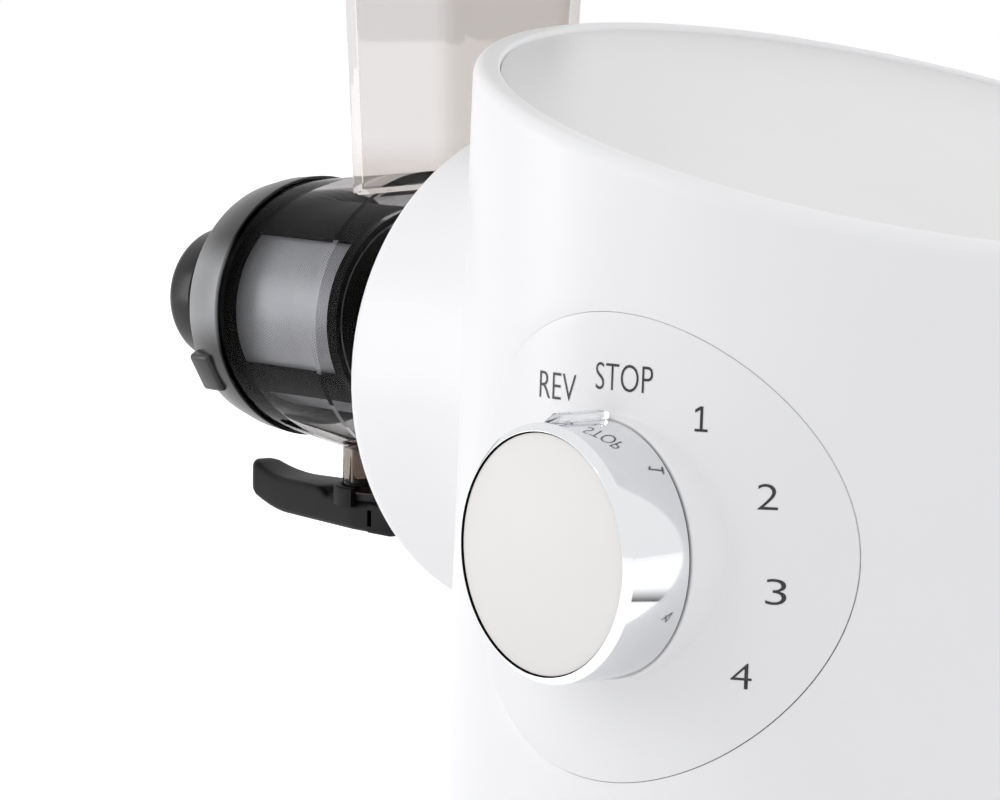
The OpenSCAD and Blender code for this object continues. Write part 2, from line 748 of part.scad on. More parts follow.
hub_front = socket_front + 0.6;
hub_rear = gearbox_front - plate_t - 1;
shaft_rear = hub_front - 18;
module drive_hub() {
    color("#B9BBBE") along(axis_z) difference() {
        union() {
            translate([0, 0, hub_rear]) cylinder(r = hub_r, h = hub_front - hub_rear);
            translate([0, 0, gearbox_rear + 0.4]) cylinder(r = output_shaft_r, h = hub_rear - gearbox_rear);
        }
        translate([0, 0, shaft_rear]) hex_bar(drive_af + 0.3, far);
    }
}

// The knob, drawn along its own axis
knob_wall = 1.6;
knob_bevel = 1.5;
face_t = 1.2;
module knob_shell() {
    color("#DADCDF") at_knob() difference() {
        union() {
            translate([0, 0, knob_back_y]) cylinder(r = knob_r, h = knob_depth - knob_bevel);
            translate([0, 0, knob_front_y - knob_bevel])
                cylinder(r1 = knob_r, r2 = knob_r - knob_bevel, h = knob_bevel);
        }
        translate([0, 0, knob_front_y - face_t]) cylinder(r = knob_r - knob_bevel - 0.15, h = far);
        difference() {
            translate([0, 0, knob_back_y - cut])
                cylinder(r = knob_r - knob_wall, h = knob_depth - face_t - 2 + cut);
            cylinder(r = spindle_r + 3, h = far);
            for (a = [0 : 3]) rotate([0, 0, 45 + 90 * a]) translate([0, -0.7, 0]) cube([knob_r, 1.4, far]);
        }
        translate([0, 0, knob_back_y - cut]) cylinder(r = nut_pocket_r, h = 4 + cut);
        translate([0, 0, knob_back_y - cut]) cylinder(r = spindle_r + 0.02, h = knob_depth - face_t - 3 + cut);
    }
}

module knob_face() {
    color("#CFCBC8") at_knob() translate([0, 0, knob_front_y - face_t])
        cylinder(r = knob_r - knob_bevel - 0.25, h = face_t - 0.3);
}

pointer_w = 3.2;
pointer_rise = 1.6;
module knob_pointer() {
    front = knob_front_y - knob_bevel - 0.2;
    color("#E4E6E8", 0.5) at_knob() translate([pointer_w / 2, knob_r + 0.01, 0]) rotate([0, -90, 0])
        linear_extrude(pointer_w) polygon([
            [knob_back_y, 0], [front, 0], [front - 2.5, pointer_rise], [knob_back_y, pointer_rise]
        ]);
}

spindle_front = knob_front_y - face_t - 3.2;
module knob_spindle() {
    color("#B08D4A") at_knob() translate([0, 0, switch_y - 9])
        cylinder(r = spindle_r, h = spindle_front - switch_y + 9);
}

switch_half = 12;
switch_t = 12;
module speed_switch() {
    color("#26282B") at_knob() difference() {
        union() {
            translate([-switch_half, -switch_half, switch_y - switch_t])
                cube([2 * switch_half, 2 * switch_half, switch_t]);
            translate([0, 0, switch_y]) cylinder(r = 4.65, h = front_y - switch_y + 1.5);
            for (s = [-1, 0, 1]) translate([s * 7 - 1.2, -switch_half - 5, switch_y - 8]) cube([2.4, 6, 0.8]);
        }
        translate([0, 0, switch_y - 9 - 0.2]) cylinder(r = spindle_r + run_gap, h = far);
    }
}

module switch_nut() {
    color("#B9BBBE") at_knob() translate([0, 0, nut_y]) difference() {
        hex_bar(14, 2.4);
        translate([0, 0, -cut]) cylinder(r = 4.67, h = 5);
    }
}

// Board with two capacitors, a choke, a relay and the heat sink of the motor's driver
board_w = 68;
board_h = 62;
board_t = 1.6;
module control_board() {
    face = board_reach + 0.1;
    color("#2F6B4A") at_tower() translate([face, 0, base_z + base_t]) {
        translate([0, -board_w / 2, 0]) cube([board_t, board_w, board_h]);
        for (y = [-24, -8]) translate([0.1, y, 44]) rotate([0, -90, 0]) cylinder(r = 7, h = 17);
        translate([-11.9, 6, 34]) cube([12, 22, 18]);
        translate([-8.9, -16, 26]) cube([9, 14, 9]);
        translate([-14.9, 0, 12]) cube([15, 3, 18]);
    }
}

// Rounded rectangle with exact corners
module rounded(w, d, r) {
    square([w - 2 * r, d], center = true);
    square([w, d - 2 * r], center = true);
    for (x = [-1, 1], y = [-1, 1]) translate([x * (w / 2 - r), y * (d / 2 - r)]) circle(r = r, $fn = 40);
}

// Drafted chute prism, drawn in by inset, from z0 to z1 above the auger's axis
corner_steps = 6;
function chute_size(size, z) = size + 2 * (z - gauge_rise) * tan(chute_draft);
function corner_points(w, d, r) = [for (q = [0 : 3], i = [0 : corner_steps])
    let (a = 90 * (q + i / corner_steps), x = q == 0 || q == 3 ? 1 : -1, y = q < 2 ? 1 : -1)
    [x * (w / 2 - r) + r * cos(a), y * (d / 2 - r) + r * sin(a)]];
function chute_ring(inset, z, gauge) = [for (p = corner_points(chute_size(chute_w, gauge) - 2 * inset,
    chute_size(chute_d, gauge) - 2 * inset, max(1, chute_round - inset))) [p[0], p[1], z]];
module chute_prism(inset, z0, z1, straight = false) {
    n = 4 * (corner_steps + 1);
    translate([-chute_reach, 0, axis_z]) polyhedron(
        concat(chute_ring(inset, z0, straight ? chute_h : z0), chute_ring(inset, z1, straight ? chute_h : z1)),
        concat(
            [[for (i = [0 : n - 1]) i]],
            [for (i = [0 : n - 1]) each [
                [i, n + i, (i + 1) % n], [(i + 1) % n, n + i, n + (i + 1) % n]
            ]],
            [[for (i = [n - 1 : -1 : 0]) n + i]]
        )
    );
}

module drum_cone(inset, z0, z1) {
    translate([0, 0, z0]) cylinder(r1 = drum_r(z0) - inset, r2 = drum_r(z1) - inset, h = z1 - z0);
}

flange_rear = socket_front + 0.3;
rib_t = 2;
module drum() {
    front_neck = 4;
    color("#6B5B52", 0.45) difference() {
        union() {
            along(neck_z) translate([0, 0, flange_rear]) cylinder(r = flange_r, h = flange_t);
            along(axis_z) drum_cone(0, flange_rear, drum_front);
            along(axis_z) translate([0, 0, drum_front - 4]) cylinder(r = drum_front_r - 2.2, h = 4 + front_neck);
        }
        along(axis_z) translate([0, 0, -drum_front]) cylinder(r = drum_r(0), h = flange_rear + drum_front);
        along(axis_z) translate([0, 0, -cut]) cylinder(r = bore_r - 1, h = cut + flange_rear + 1);
        along(axis_z) drum_cone(drum_wall, flange_rear - cut, screen_rear - rib_t / 4);
        along(axis_z) drum_cone(drum_wall, screen_rear + rib_t * 3 / 4, drum_front - 3);
        along(axis_z) cylinder(r = screen_r + 0.3, h = drum_front + front_neck + cut);
        // The throat opens behind the screen; in front of it the drum's wall goes on under the chute
        at_tower() difference() {
            chute_prism(drum_wall, 0, chute_h + cut);
            translate([0, 0, axis_z]) rotate([0, -90, 0]) drum_cone(-0.05, screen_rear - drum_wall, drum_front);
        }
        at_tower() translate([-spout_reach, 0, spout_mouth_z - cut])
            cylinder(r = spout_plug_r + 0.02, h = spout_drop);
        along(neck_z) translate([0, 0, flange_rear - cut]) ring(flange_r - 1, flange_r - 3.2, cut + 1.6);
    }
}

// Chute: its lower edge is shaped to the drum's cone and welded to it
module feed_chute() {
    color("#E4E0DC", 0.45) difference() {
        at_tower() chute_prism(0, 0, chute_h);
        along(axis_z) drum_cone(-0.02, neck_end, drum_front);
        at_tower() chute_prism(drum_wall, -cut, chute_h + cut);
    }
}

// Lug that carries the flap's pin, joined to the spout's tube by a web
module hinge_lug() {
    top = axis_z - screen_r;
    translate([-flap_pin_reach, lug_w / 2, flap_pin_z]) rotate([90, 0, 0]) {
        cylinder(r = lug_r, h = lug_w);
        translate([-lug_r, 0, 0]) cube([2 * lug_r, top - flap_pin_z, lug_w]);
    }
    translate([-spout_reach + spout_r - 1.6, -lug_w / 2, spout_mouth_z])
        cube([spout_reach - flap_pin_reach - spout_r + 1.6, lug_w, top - spout_mouth_z]);
}

// Juice spout: its tube meets the drum's cone, and a narrower plug goes on through the wall
spout_plug_r = spout_r - 1;
module juice_outlet() {
    color("#6B5B52", 0.45) difference() {
        union() {
            difference() {
                at_tower() {
                    translate([-spout_reach, 0, spout_mouth_z]) cylinder(r = spout_r, h = spout_drop - screen_r);
                    hinge_lug();
                }
                along(axis_z) drum_cone(-0.02, neck_end, drum_front);
            }
            at_tower() translate([-spout_reach, 0, spout_mouth_z + cut])
                cylinder(r = spout_plug_r, h = spout_drop - screen_r - 2 * cut);
        }
        along(axis_z) drum_cone(drum_wall, neck_end, drum_front);
        at_tower() translate([-spout_reach, 0, spout_mouth_z - cut]) cylinder(r = spout_r - 2.2, h = spout_drop);
        at_tower() translate([-flap_pin_reach, far / 2, flap_pin_z]) rotate([90, 0, 0])
            cylinder(r = flap_pin_r + 0.01, h = far);
    }
}

module drum_seal() {
    color("#BFC1C4") along(neck_z) translate([0, 0, socket_front + 0.05])
        ring(flange_r - 1.05, flange_r - 3.15, 0.25 + 1.55);
}

// Screen frame: two rings and the bands between three windows, given as angles above level
windows = [[-30, 46], [134, 210], [228, 312]];
module window_cut(a0, a1) {
    linear_extrude(screen_len - 2 * screen_ring) polygon(concat([[0, 0]], [
        for (i = [0 : 8]) let (a = a0 + (a1 - a0) * i / 8) [2 * screen_r * sin(a), 2 * screen_r * cos(a)]
    ]));
}
module screen_frame() {
    color("#1F1F21") along(axis_z) difference() {
        translate([0, 0, screen_rear]) cylinder(r = screen_r, h = screen_len);
        translate([0, 0, screen_rear - cut]) cylinder(r = mesh_r, h = far);
        for (w = windows) translate([0, 0, screen_rear + screen_ring]) window_cut(w[0], w[1]);
    }
}

module screen_mesh() {
    color("#B9BCC0") along(axis_z) translate([0, 0, screen_rear + 0.2])
        ring(mesh_r - 0.02, mesh_r - mesh_t, screen_len - 0.4);
}

module flap_pin() {
    color("#A9ABAF") at_tower() translate([-flap_pin_reach, flap_w / 2 - 0.5, flap_pin_z])
        rotate([90, 0, 0]) cylinder(r = flap_pin_r, h = flap_w - 1);
}

// Auger: a cone-shaped core and a helical flight whose pitch closes up
flight_rear = auger_rear + disc_t;
feed_end = screen_rear - 3;
flight_front = drum_front - 3;
turn_step = 10;
flight_turns = (feed_end - flight_rear) / feed_pitch + (flight_front - feed_end) / press_pitch;
flight_steps = floor(flight_turns * 360 / turn_step);
feed_steps = (feed_end - flight_rear) / feed_pitch * 360 / turn_step;
function flight_reach(i) = i < feed_steps
    ? flight_rear + i * turn_step / 360 * feed_pitch
    : feed_end + (i - feed_steps) * turn_step / 360 * press_pitch;
function core_at(reach) = core_rear_r
    + (core_front_r - core_rear_r) * max(0, min(1, (reach - auger_rear) / (flight_front - auger_rear)));
function feed_r(reach) = drum_r(reach) - drum_wall - 1.2;
// Under the chute the flight is as wide as the drum, then it steps down to the screen's bore
step_from = chute_reach - 9;
step_to = chute_reach;
function flight_at(reach) = let (u = max(0, min(1, (reach - step_from) / (step_to - step_from))))
    feed_r(reach) * (1 - u) + flight_r * u;
function flight_section(i) = let (
        z = flight_reach(i),
        r0 = core_at(z) - 2,
        r1 = flight_at(z),
        root = flight_t / 2 + 1.1,
        tip = flight_t / 2
    ) [[r0, z - root], [r1, z - tip], [r1, z + tip], [r0, z + root]];
module flight() {
    points = [for (i = [0 : flight_steps], p = flight_section(i))
        [p[0] * cos(i * turn_step), p[0] * sin(i * turn_step), p[1]]];
    last = 4 * flight_steps;
    faces = concat(
        [[3, 2, 1, 0]],
        [for (i = [0 : flight_steps - 1], j = [0 : 3]) let (k = 4 * i, j2 = (j + 1) % 4) each [
            [k + j, k + j2, k + 4 + j],
            [k + j2, k + 4 + j2, k + 4 + j]
        ]],
        [[last, last + 1, last + 2, last + 3]]
    );
    polyhedron(points, faces);
}

tip_reach = cap_end + 6;
module auger() {
    color("#2A2A2D") along(axis_z) difference() {
        union() {
            flight();
            translate([0, 0, auger_rear])
                cylinder(r1 = core_at(auger_rear), r2 = core_front_r, h = flight_front + 1 - auger_rear);
            translate([0, 0, auger_rear]) cylinder(r = feed_r(auger_rear), h = disc_t);
            translate([0, 0, flight_front + 1]) cylinder(r1 = core_front_r, r2 = 6, h = cap_inner - flight_front - 2);
            cylinder(r = 6, h = tip_reach);
        }
        cylinder(r = 20, h = auger_rear);
        translate([0, 0, -cut]) hex_bar(drive_af + 0.04, auger_rear + 30);
    }
}

module auger_shaft() {
    color("#B9BBBE") along(axis_z) translate([0, 0, shaft_rear + 0.5])
        hex_bar(drive_af, auger_rear + 28 - shaft_rear);
}

module auger_seal() {
    color("#BFC1C4") along(axis_z) translate([0, 0, auger_rear - 1])
        ring(hub_r + 6, hub_r + 2, 1);
}

spout_wall_r = 12.4;
module end_cap() {
    inner = drum_front_r - 2.2 + 0.3;
    color("#232326") along(axis_z) difference() {
        union() {
            translate([0, 0, drum_front + slip_gap]) cylinder(r1 = drum_r(drum_front) - 0.1,
                r2 = drum_r(cap_end) - 0.1, h = cap_len);
            cylinder(r = spout_wall_r, h = cap_end + 9);
            // Two grip tabs
            for (s = [0, 180]) rotate([0, 0, 240 + s]) translate([0, -5, drum_front + slip_gap])
                cube([drum_r(drum_front) + 1.8, 10, cap_len - 1]);
        }
        cylinder(r = inner, h = cap_inner);
        cylinder(r = nozzle_exit_r + 1, h = far);
    }
}

module cap_seal() {
    color("#BFC1C4") along(axis_z) translate([0, 0, drum_front + 4.05])
        ring(drum_front_r - 2.2, screen_r + 0.2, slip_gap + 0.1);
}

module pulp_nozzle() {
    color("#1C1C1E") along(axis_z) difference() {
        union() {
            translate([0, 0, cap_end + 1.2]) cylinder(r = nozzle_r, h = nozzle_len - 2);
            translate([0, 0, nozzle_end - 2]) cylinder(r1 = nozzle_r, r2 = nozzle_r - 1.5, h = 2);
        }
        cylinder(r = spout_wall_r + slip_gap, h = cap_end + 9.6);
        translate([0, 0, cap_end + 9]) cylinder(r1 = spout_wall_r - 0.5, r2 = nozzle_exit_r, h = 8);
        cylinder(r = nozzle_exit_r, h = far);
    }
}

// Lever outline from the side: a strip that curves up towards its tip
lever_steps = 12;
lever_tip = spout_reach + lever_len;
bend_from = spout_reach + 2 * spout_r;
tip_thin = 0.14;
function lever_points(rise, r) = [for (i = [0 : lever_steps])
    let (run = (lever_tip - bend_from) * i / lever_steps)
    [-bend_from - run, flap_top_z - rise * (1 - tip_thin * i / lever_steps) + r - sqrt(pow(r, 2) - pow(run, 2))]];
module lever_side() {
    over = lever_points(0, lever_bend);
    under = lever_points(flap_t, lever_bend + flap_t);
    polygon(concat(
        [[-flap_pin_reach, flap_top_z]], over,
        [for (i = [lever_steps : -1 : 0]) under[i]], [[-flap_pin_reach, flap_top_z - flap_t]]
    ));
    translate([-flap_pin_reach, flap_pin_z]) circle(r = flap_t / 2);
}

// Lever outline from above: square at the hinge, tapered to a round tip
module lever_plan() {
    tip_r = lever_w / 2;
    back = -flap_pin_reach + flap_t;
    polygon(concat(
        [[back, flap_w / 2], [-spout_reach, flap_w / 2]],
        [for (a = [90 : 15 : 270]) [-lever_tip + tip_r + tip_r * cos(a), tip_r * sin(a)]],
        [[-spout_reach, -flap_w / 2], [back, -flap_w / 2]]
    ));
}

module juice_flap() {
    color("#1B1B1D") at_tower() difference() {
        intersection() {
            translate([0, flap_w, 0]) rotate([90, 0, 0]) linear_extrude(2 * flap_w) lever_side();
            translate([0, 0, flap_top_z - 2 * flap_t]) linear_extrude(5 * flap_t) lever_plan();
        }
        translate([-flap_pin_reach, far / 2, flap_pin_z]) rotate([90, 0, 0])
            cylinder(r = flap_pin_r + run_gap, h = far);
        // Slot for the drum's lug
        translate([-flap_pin_reach - lug_r - 0.5, -lug_w / 2 - 0.3, 0]) cube([lug_r + 10, lug_w + 0.6, far]);
    }
}

module flap_pad() {
    color("#BFC1C4") at_tower() translate([-spout_reach, 0, flap_top_z])
        cylinder(r = spout_r - 0.4, h = pad_t - 0.1);
}

// Stadium-shaped frustum for the tray
module tray_solid(r0, r1, h) {
    for (s = [-1, 1]) translate([s * tray_half, 0, 0]) cylinder(r1 = r0, r2 = r1, h = h);
    translate([-tray_half, 0, 0]) rotate([90, 0, 90]) linear_extrude(2 * tray_half)
        polygon([[-r0, 0], [r0, 0], [r1, h], [-r1, h]]);
}

tray_low_r = tray_r - 13;
collar_h = 14;
module hopper_tray() {
    color("#6B5B52", 0.45) difference() {
        union() {
            at_tower() translate([-chute_reach, 0, tray_floor_z]) tray_solid(tray_low_r, tray_r, tray_h);
            // Straight collar, which clears the drafted chute on the way up
            at_tower() chute_prism(-tray_wall - slip_gap, chute_h - collar_h, chute_h + cut, true);
        }
        at_tower() translate([-chute_reach, 0, tray_floor_z + tray_wall + 0.3])
            tray_solid(tray_low_r - tray_wall, tray_r - tray_wall + 0.3, tray_h);
        at_tower() chute_prism(-slip_gap, chute_h - collar_h - cut, chute_h + seam_gap, true);
        at_tower() chute_prism(drum_wall, chute_h - 2, chute_h + 10);
    }
}

stop_t = 4;
pusher_floor_z = tray_floor_z + tray_wall + 0.4;
module pusher() {
    low = chute_h + tray_wall + 0.6 - pusher_len;
    w = chute_size(chute_w, low) - 2 * drum_wall - 3;
    d = chute_size(chute_d, low) - 2 * drum_wall - 3;
    color("#CFC8C2", 0.6) at_tower() translate([-chute_reach, 0, 0]) difference() {
        union() {
            translate([0, 0, axis_z + low]) linear_extrude(pusher_len + pusher_top) rounded(w, d, 4);
            translate([0, 0, pusher_floor_z]) linear_extrude(stop_t)
                rounded(chute_size(chute_w, chute_h) + 4, chute_size(chute_d, chute_h) + 4, 7);
        }
        translate([0, 0, axis_z + low + 2.4]) linear_extrude(far) rounded(w - 4.4, d - 4.4, 2.2);
    }
}

module pusher_cap() {
    low = chute_h + tray_wall + 0.6 - pusher_len;
    w = chute_size(chute_w, low) - 2 * drum_wall - 3;
    d = chute_size(chute_d, low) - 2 * drum_wall - 3;
    top = axis_z + low + pusher_len + pusher_top;
    color("#2A2A2D") at_tower() translate([-chute_reach, 0, top]) {
        translate([0, 0, -6]) linear_extrude(6) rounded(w - 4.7, d - 4.7, 2);
        linear_extrude(4) rounded(w + 8, d + 8, 6);
    }
}

body_shell();
top_cover();
dial_plate();
base_plate();
rubber_feet();
base_screws();
cord_gland();
drum_socket();
motor_bracket();
bracket_screws();
gearbox_case();
gearbox_cover();
gearbox_screws();
output_bearing();
hub_seal();
gear_axle();
motor_can();
motor_end_bell();
field_magnets();
motor_bushes();
control_board();
speed_switch();
switch_nut();
knob_shell();
knob_face();
knob_pointer();
knob_spindle();
rotor_shaft();
rotor_core();
motor_pinion();
cooling_fan();
reduction_gear();
output_gear();
drive_hub();
drum();
feed_chute();
drum_seal();
screen_frame();
screen_mesh();
juice_outlet();
flap_pin();
auger();
auger_shaft();
auger_seal();
end_cap();
cap_seal();
pulp_nozzle();
juice_flap();
flap_pad();
hopper_tray();
pusher();
pusher_cap();
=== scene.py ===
from math import atan2, cos, hypot, pi, radians, sin, sqrt, tan

import bmesh
import bpy
from mathutils import Matrix, Vector

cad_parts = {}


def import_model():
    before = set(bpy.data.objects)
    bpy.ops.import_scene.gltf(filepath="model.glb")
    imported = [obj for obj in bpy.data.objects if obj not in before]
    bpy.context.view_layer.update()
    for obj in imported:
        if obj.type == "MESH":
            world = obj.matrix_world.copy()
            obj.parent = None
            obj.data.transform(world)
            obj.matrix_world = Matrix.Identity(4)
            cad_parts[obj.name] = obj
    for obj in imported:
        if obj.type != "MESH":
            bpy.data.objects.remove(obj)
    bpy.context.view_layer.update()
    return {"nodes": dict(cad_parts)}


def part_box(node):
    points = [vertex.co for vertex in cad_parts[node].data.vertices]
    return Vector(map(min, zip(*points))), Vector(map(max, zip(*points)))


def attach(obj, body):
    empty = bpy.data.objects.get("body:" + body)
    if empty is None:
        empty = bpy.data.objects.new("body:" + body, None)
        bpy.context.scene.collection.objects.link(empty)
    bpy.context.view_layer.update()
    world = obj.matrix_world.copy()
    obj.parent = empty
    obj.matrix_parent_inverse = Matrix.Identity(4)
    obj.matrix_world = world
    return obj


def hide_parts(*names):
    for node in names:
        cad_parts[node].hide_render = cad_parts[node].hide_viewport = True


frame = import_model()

scene = bpy.context.scene
nodes = frame["nodes"]
mm = 0.001

# Sizes are millimetres about the tower's axis, with z up from the table
feetLow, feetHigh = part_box("rubber_feet")
towerX = (feetLow.x + feetHigh.x) / 2 / mm
towerY = (feetLow.y + feetHigh.y) / 2 / mm

tower = {
    "radius": 83.1,  # at the knob's height
    "draft": 1.5,  # degrees, wider downwards
    "knobZ": 130,
    "topZ": 208,  # sloping top on the tower's axis
    "slope": 14,
    "baseZ": 5,
    "wall": 3,
    "rimWidth": 5.5,
    "rimRoll": 3,
    "coverDrop": 0.7,
    "coverThick": 3,
}
drumAxis = 157.5


def world(p):
    return Vector(((p[0] + towerX) * mm, (p[1] + towerY) * mm, p[2] * mm))


def towerAt(z):
    return tower["radius"] + (tower["knobZ"] - z) * tan(radians(tower["draft"]))


def frontPoint(x, z, inset):  # on the tower's front, inset into its wall
    return (x, -sqrt((towerAt(z) - inset) ** 2 - x * x), z)


def dialPoint(a, r, inset):
    return frontPoint(knob["x"] + r * sin(a), tower["knobZ"] + r * cos(a), inset)


# Shaping helpers

def newObject(name, data):
    made = bpy.data.objects.new(name, data)
    scene.collection.objects.link(made)
    return made


def anglesRound(count):
    return [2 * pi * k / count for k in range(count)]


def softPath(corners, steps=5, closed=False):
    # corners are (a, b) or (a, b, fillet); fillets become arcs
    path = []
    count = len(corners)
    for i, corner in enumerate(corners):
        point = Vector(corner[:2])
        fillet = corner[2] if len(corner) > 2 else 0
        if fillet <= 0 or (not closed and i in (0, count - 1)):
            path.append(point)
            continue
        back = Vector(corners[i - 1][:2]) - point
        ahead = Vector(corners[(i + 1) % count][:2]) - point
        turn = back.angle(ahead)
        run = min(fillet / tan(turn / 2), 0.49 * back.length, 0.49 * ahead.length)
        radius = run * tan(turn / 2)
        inward = (back.normalized() + ahead.normalized()).normalized()
        middle = point + inward * (radius / sin(turn / 2))
        first = point + back.normalized() * run - middle
        last = point + ahead.normalized() * run - middle
        sweep = first.angle(last)
        for k in range(steps + 1):
            t = k / steps
            along = sin((1 - t) * sweep) * first + sin(t * sweep) * last
            path.append(middle + along / sin(sweep))
    return path


def bent(start, knee, end, t):  # from start to end, rounding the knee
    return start * (1 - t) ** 2 + knee * 2 * t * (1 - t) + end * t * t


def aroundDrum(a, r, reach):
    return (-reach, r * sin(a), drumAxis + r * cos(a))


def aroundKnob(a, r, out):
    return (knob["x"] + r * sin(a), -out, tower["knobZ"] + r * cos(a))


def bridge(bm, first, second):  # quads between two closed rings
    n = len(first)
    for k in range(n):
        bm.faces.new((first[k], first[(k + 1) % n], second[(k + 1) % n], second[k]))


def ringFaces(bm, rings, closeRings=False):
    made = [[bm.verts.new(world(p)) for p in ring] for ring in rings]
    for low, high in zip(made, made[1:]):
        bridge(bm, low, high)
    if closeRings:
        bridge(bm, made[-1], made[0])
    return made


def turned(corners, place, count, steps, closed=True):
    bm = bmesh.new()
    path = softPath(corners, steps, closed)
    ringFaces(bm, [[place(a, *p) for a in anglesRound(count)] for p in path], closed)
    return bm


weldGap = 2e-6  # metres


def isSharp(edge, angle):
    return len(edge.link_faces) == 2 and edge.calc_face_angle() > radians(angle)


def roundEdges(bm, edges, width, segments=3, clamp=False):
    bmesh.ops.bevel(bm, geom=edges, offset=width * mm, segments=segments, affect="EDGES",
                    profile=0.5, clamp_overlap=clamp)


def addPiece(name, bm, material, body, replaced=(), sharp=32):
    bmesh.ops.remove_doubles(bm, verts=bm.verts, dist=weldGap)
    bmesh.ops.dissolve_degenerate(bm, edges=bm.edges, dist=weldGap / 20)
    bmesh.ops.recalc_face_normals(bm, faces=bm.faces)
    for face in bm.faces:
        face.smooth = True
    for edge in bm.edges:
        if isSharp(edge, sharp):
            edge.smooth = False
    mesh = bpy.data.meshes.new(name)
    bm.to_mesh(mesh)
    bm.free()
    piece = newObject(name, mesh)
    mesh.materials.append(material)
    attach(piece, body)
    if replaced:
        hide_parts(*replaced)
    return piece


def dress(material, *names):
    for name in names:
        part = nodes[name]
        if not part.material_slots:
            part.data.materials.append(material)
        for place in part.material_slots:
            place.material = material


def softened(name, label, width, material, body, segments=2):
    # the solid of one node, with its sharp edges rounded
    part = nodes[name]
    bm = bmesh.new()
    bm.from_mesh(part.data)
    bm.transform(part.matrix_world)
    bmesh.ops.remove_doubles(bm, verts=bm.verts, dist=weldGap)
    bmesh.ops.dissolve_limit(bm, angle_limit=radians(0.6), verts=bm.verts, edges=bm.edges)
    roundEdges(bm, [edge for edge in bm.edges if isSharp(edge, 35)], width, segments, True)
    addPiece(label, bm, material, body, [name], sharp=60)


def paintFaces(piece, material, picks):  # a second material on the faces that picks names
    piece.data.materials.append(material)
    last = len(piece.data.materials) - 1
    for polygon in piece.data.polygons:
        spot = polygon.center / mm
        if picks(Vector((spot.x - towerX, spot.y - towerY, spot.z)), polygon.normal):
            polygon.material_index = last


# Colours, node groups and finishes

def paint(code):  # "#RRGGBB" to linear colour
    values = [int(code[i:i + 2], 16) / 255 for i in (1, 3, 5)]
    return [v / 12.92 if v <= 0.04045 else ((v + 0.055) / 1.055) ** 2.4 for v in values] + [1]


def newGroup(name, inputs, outputs):
    group = bpy.data.node_groups.new(name, "ShaderNodeTree")
    for label, kind, value in inputs:
        made = group.interface.new_socket(label, in_out="INPUT", socket_type=kind)
        if value is not None:
            made.default_value = value
    for label, kind in outputs:
        group.interface.new_socket(label, in_out="OUTPUT", socket_type=kind)
    return group, group.nodes.new("NodeGroupInput"), group.nodes.new("NodeGroupOutput")


def addNode(tree, kind, settings=None, **values):
    node = tree.nodes.new(kind)
    for key, value in (settings or {}).items():
        setattr(node, key, value)
    for key, value in values.items():
        socket = node.inputs[int(key[1:])] if key[0] == "_" else node.inputs[key.replace("0", " ")]
        if isinstance(value, bpy.types.NodeSocket):
            tree.links.new(value, socket)
        else:
            socket.default_value = value
    return node


def mathNode(tree, operation, *values):
    return addNode(tree, "ShaderNodeMath", {"operation": operation},
                   **{f"_{i}": v for i, v in enumerate(values)}).outputs[0]


def times(tree, first, second):
    return mathNode(tree, "MULTIPLY", first, second)


def vectorMath(tree, operation, *values):
    node = addNode(tree, "ShaderNodeVectorMath", {"operation": operation},
                   **{f"_{i}": v for i, v in enumerate(values)})
    return node.outputs["Value" if operation in ("LENGTH", "DOT_PRODUCT") else "Vector"]


def mixed(tree, share, first, second):
    return addNode(tree, "ShaderNodeMix", {"data_type": "RGBA"}, _0=share, _6=first,
                   _7=second).outputs[2]


def ranged(tree, value, low, high, first=0.0, last=1.0, kind="LINEAR"):
    return addNode(tree, "ShaderNodeMapRange", {"interpolation_type": kind}, Value=value,
                   From0Min=low, From0Max=high, To0Min=first, To0Max=last).outputs[0]


def objectPoint(tree):
    return addNode(tree, "ShaderNodeTexCoord").outputs["Object"]


def noiseNode(tree, spot, scale, detail, **values):
    return addNode(tree, "ShaderNodeTexNoise", Vector=spot, Scale=scale, Detail=detail,
                   **values).outputs["Fac"]


def giveSkin(group, given, out, swinging, height):  # roughness about its value, and a height
    swing = times(group, mathNode(group, "SUBTRACT", swinging, 0.5), given.outputs["Spread"])
    group.links.new(mathNode(group, "ADD", given.outputs["Roughness"], swing), out.inputs["Roughness"])
    group.links.new(height, out.inputs["Height"])
    return group


floatKind, colorKind, vectorKind = "NodeSocketFloat", "NodeSocketColor", "NodeSocketVector"


def makeMouldGrain():  # fine moulded texture with slow drift in gloss
    group, given, out = newGroup("mouldGrain", [
        ("Grain Scale", floatKind, 1500.0), ("Drift Scale", floatKind, 18.0),
        ("Roughness", floatKind, 0.3), ("Spread", floatKind, 0.08)],
        [("Roughness", floatKind), ("Height", floatKind)])
    spot = objectPoint(group)
    fine = noiseNode(group, spot, given.outputs["Grain Scale"], 2.0)
    slow = noiseNode(group, spot, given.outputs["Drift Scale"], 3.0)
    both = mathNode(group, "ADD", times(group, fine, 0.35), times(group, slow, 0.65))
    return giveSkin(group, given, out, both, fine)


def makeToneDrift():  # slow change between two close tones
    group, given, out = newGroup("toneDrift", [
        ("Tone A", colorKind, (1, 1, 1, 1)), ("Tone B", colorKind, (0.9, 0.9, 0.9, 1)),
        ("Scale", floatKind, 14.0), ("Speckle", floatKind, 0.0)],
        [("Color", colorKind), ("Mask", floatKind)])
    spot = objectPoint(group)
    slow = noiseNode(group, spot, given.outputs["Scale"], 4.0, Roughness=0.6)
    fine = noiseNode(group, spot, 2600.0, 1.0)
    speck = times(group, mathNode(group, "SUBTRACT", fine, 0.5), given.outputs["Speckle"])
    mask = mathNode(group, "ADD", ranged(group, slow, 0.32, 0.68), speck)
    color = mixed(group, mask, given.outputs["Tone A"], given.outputs["Tone B"])
    group.links.new(color, out.inputs["Color"])
    group.links.new(mask, out.inputs["Mask"])
    return group


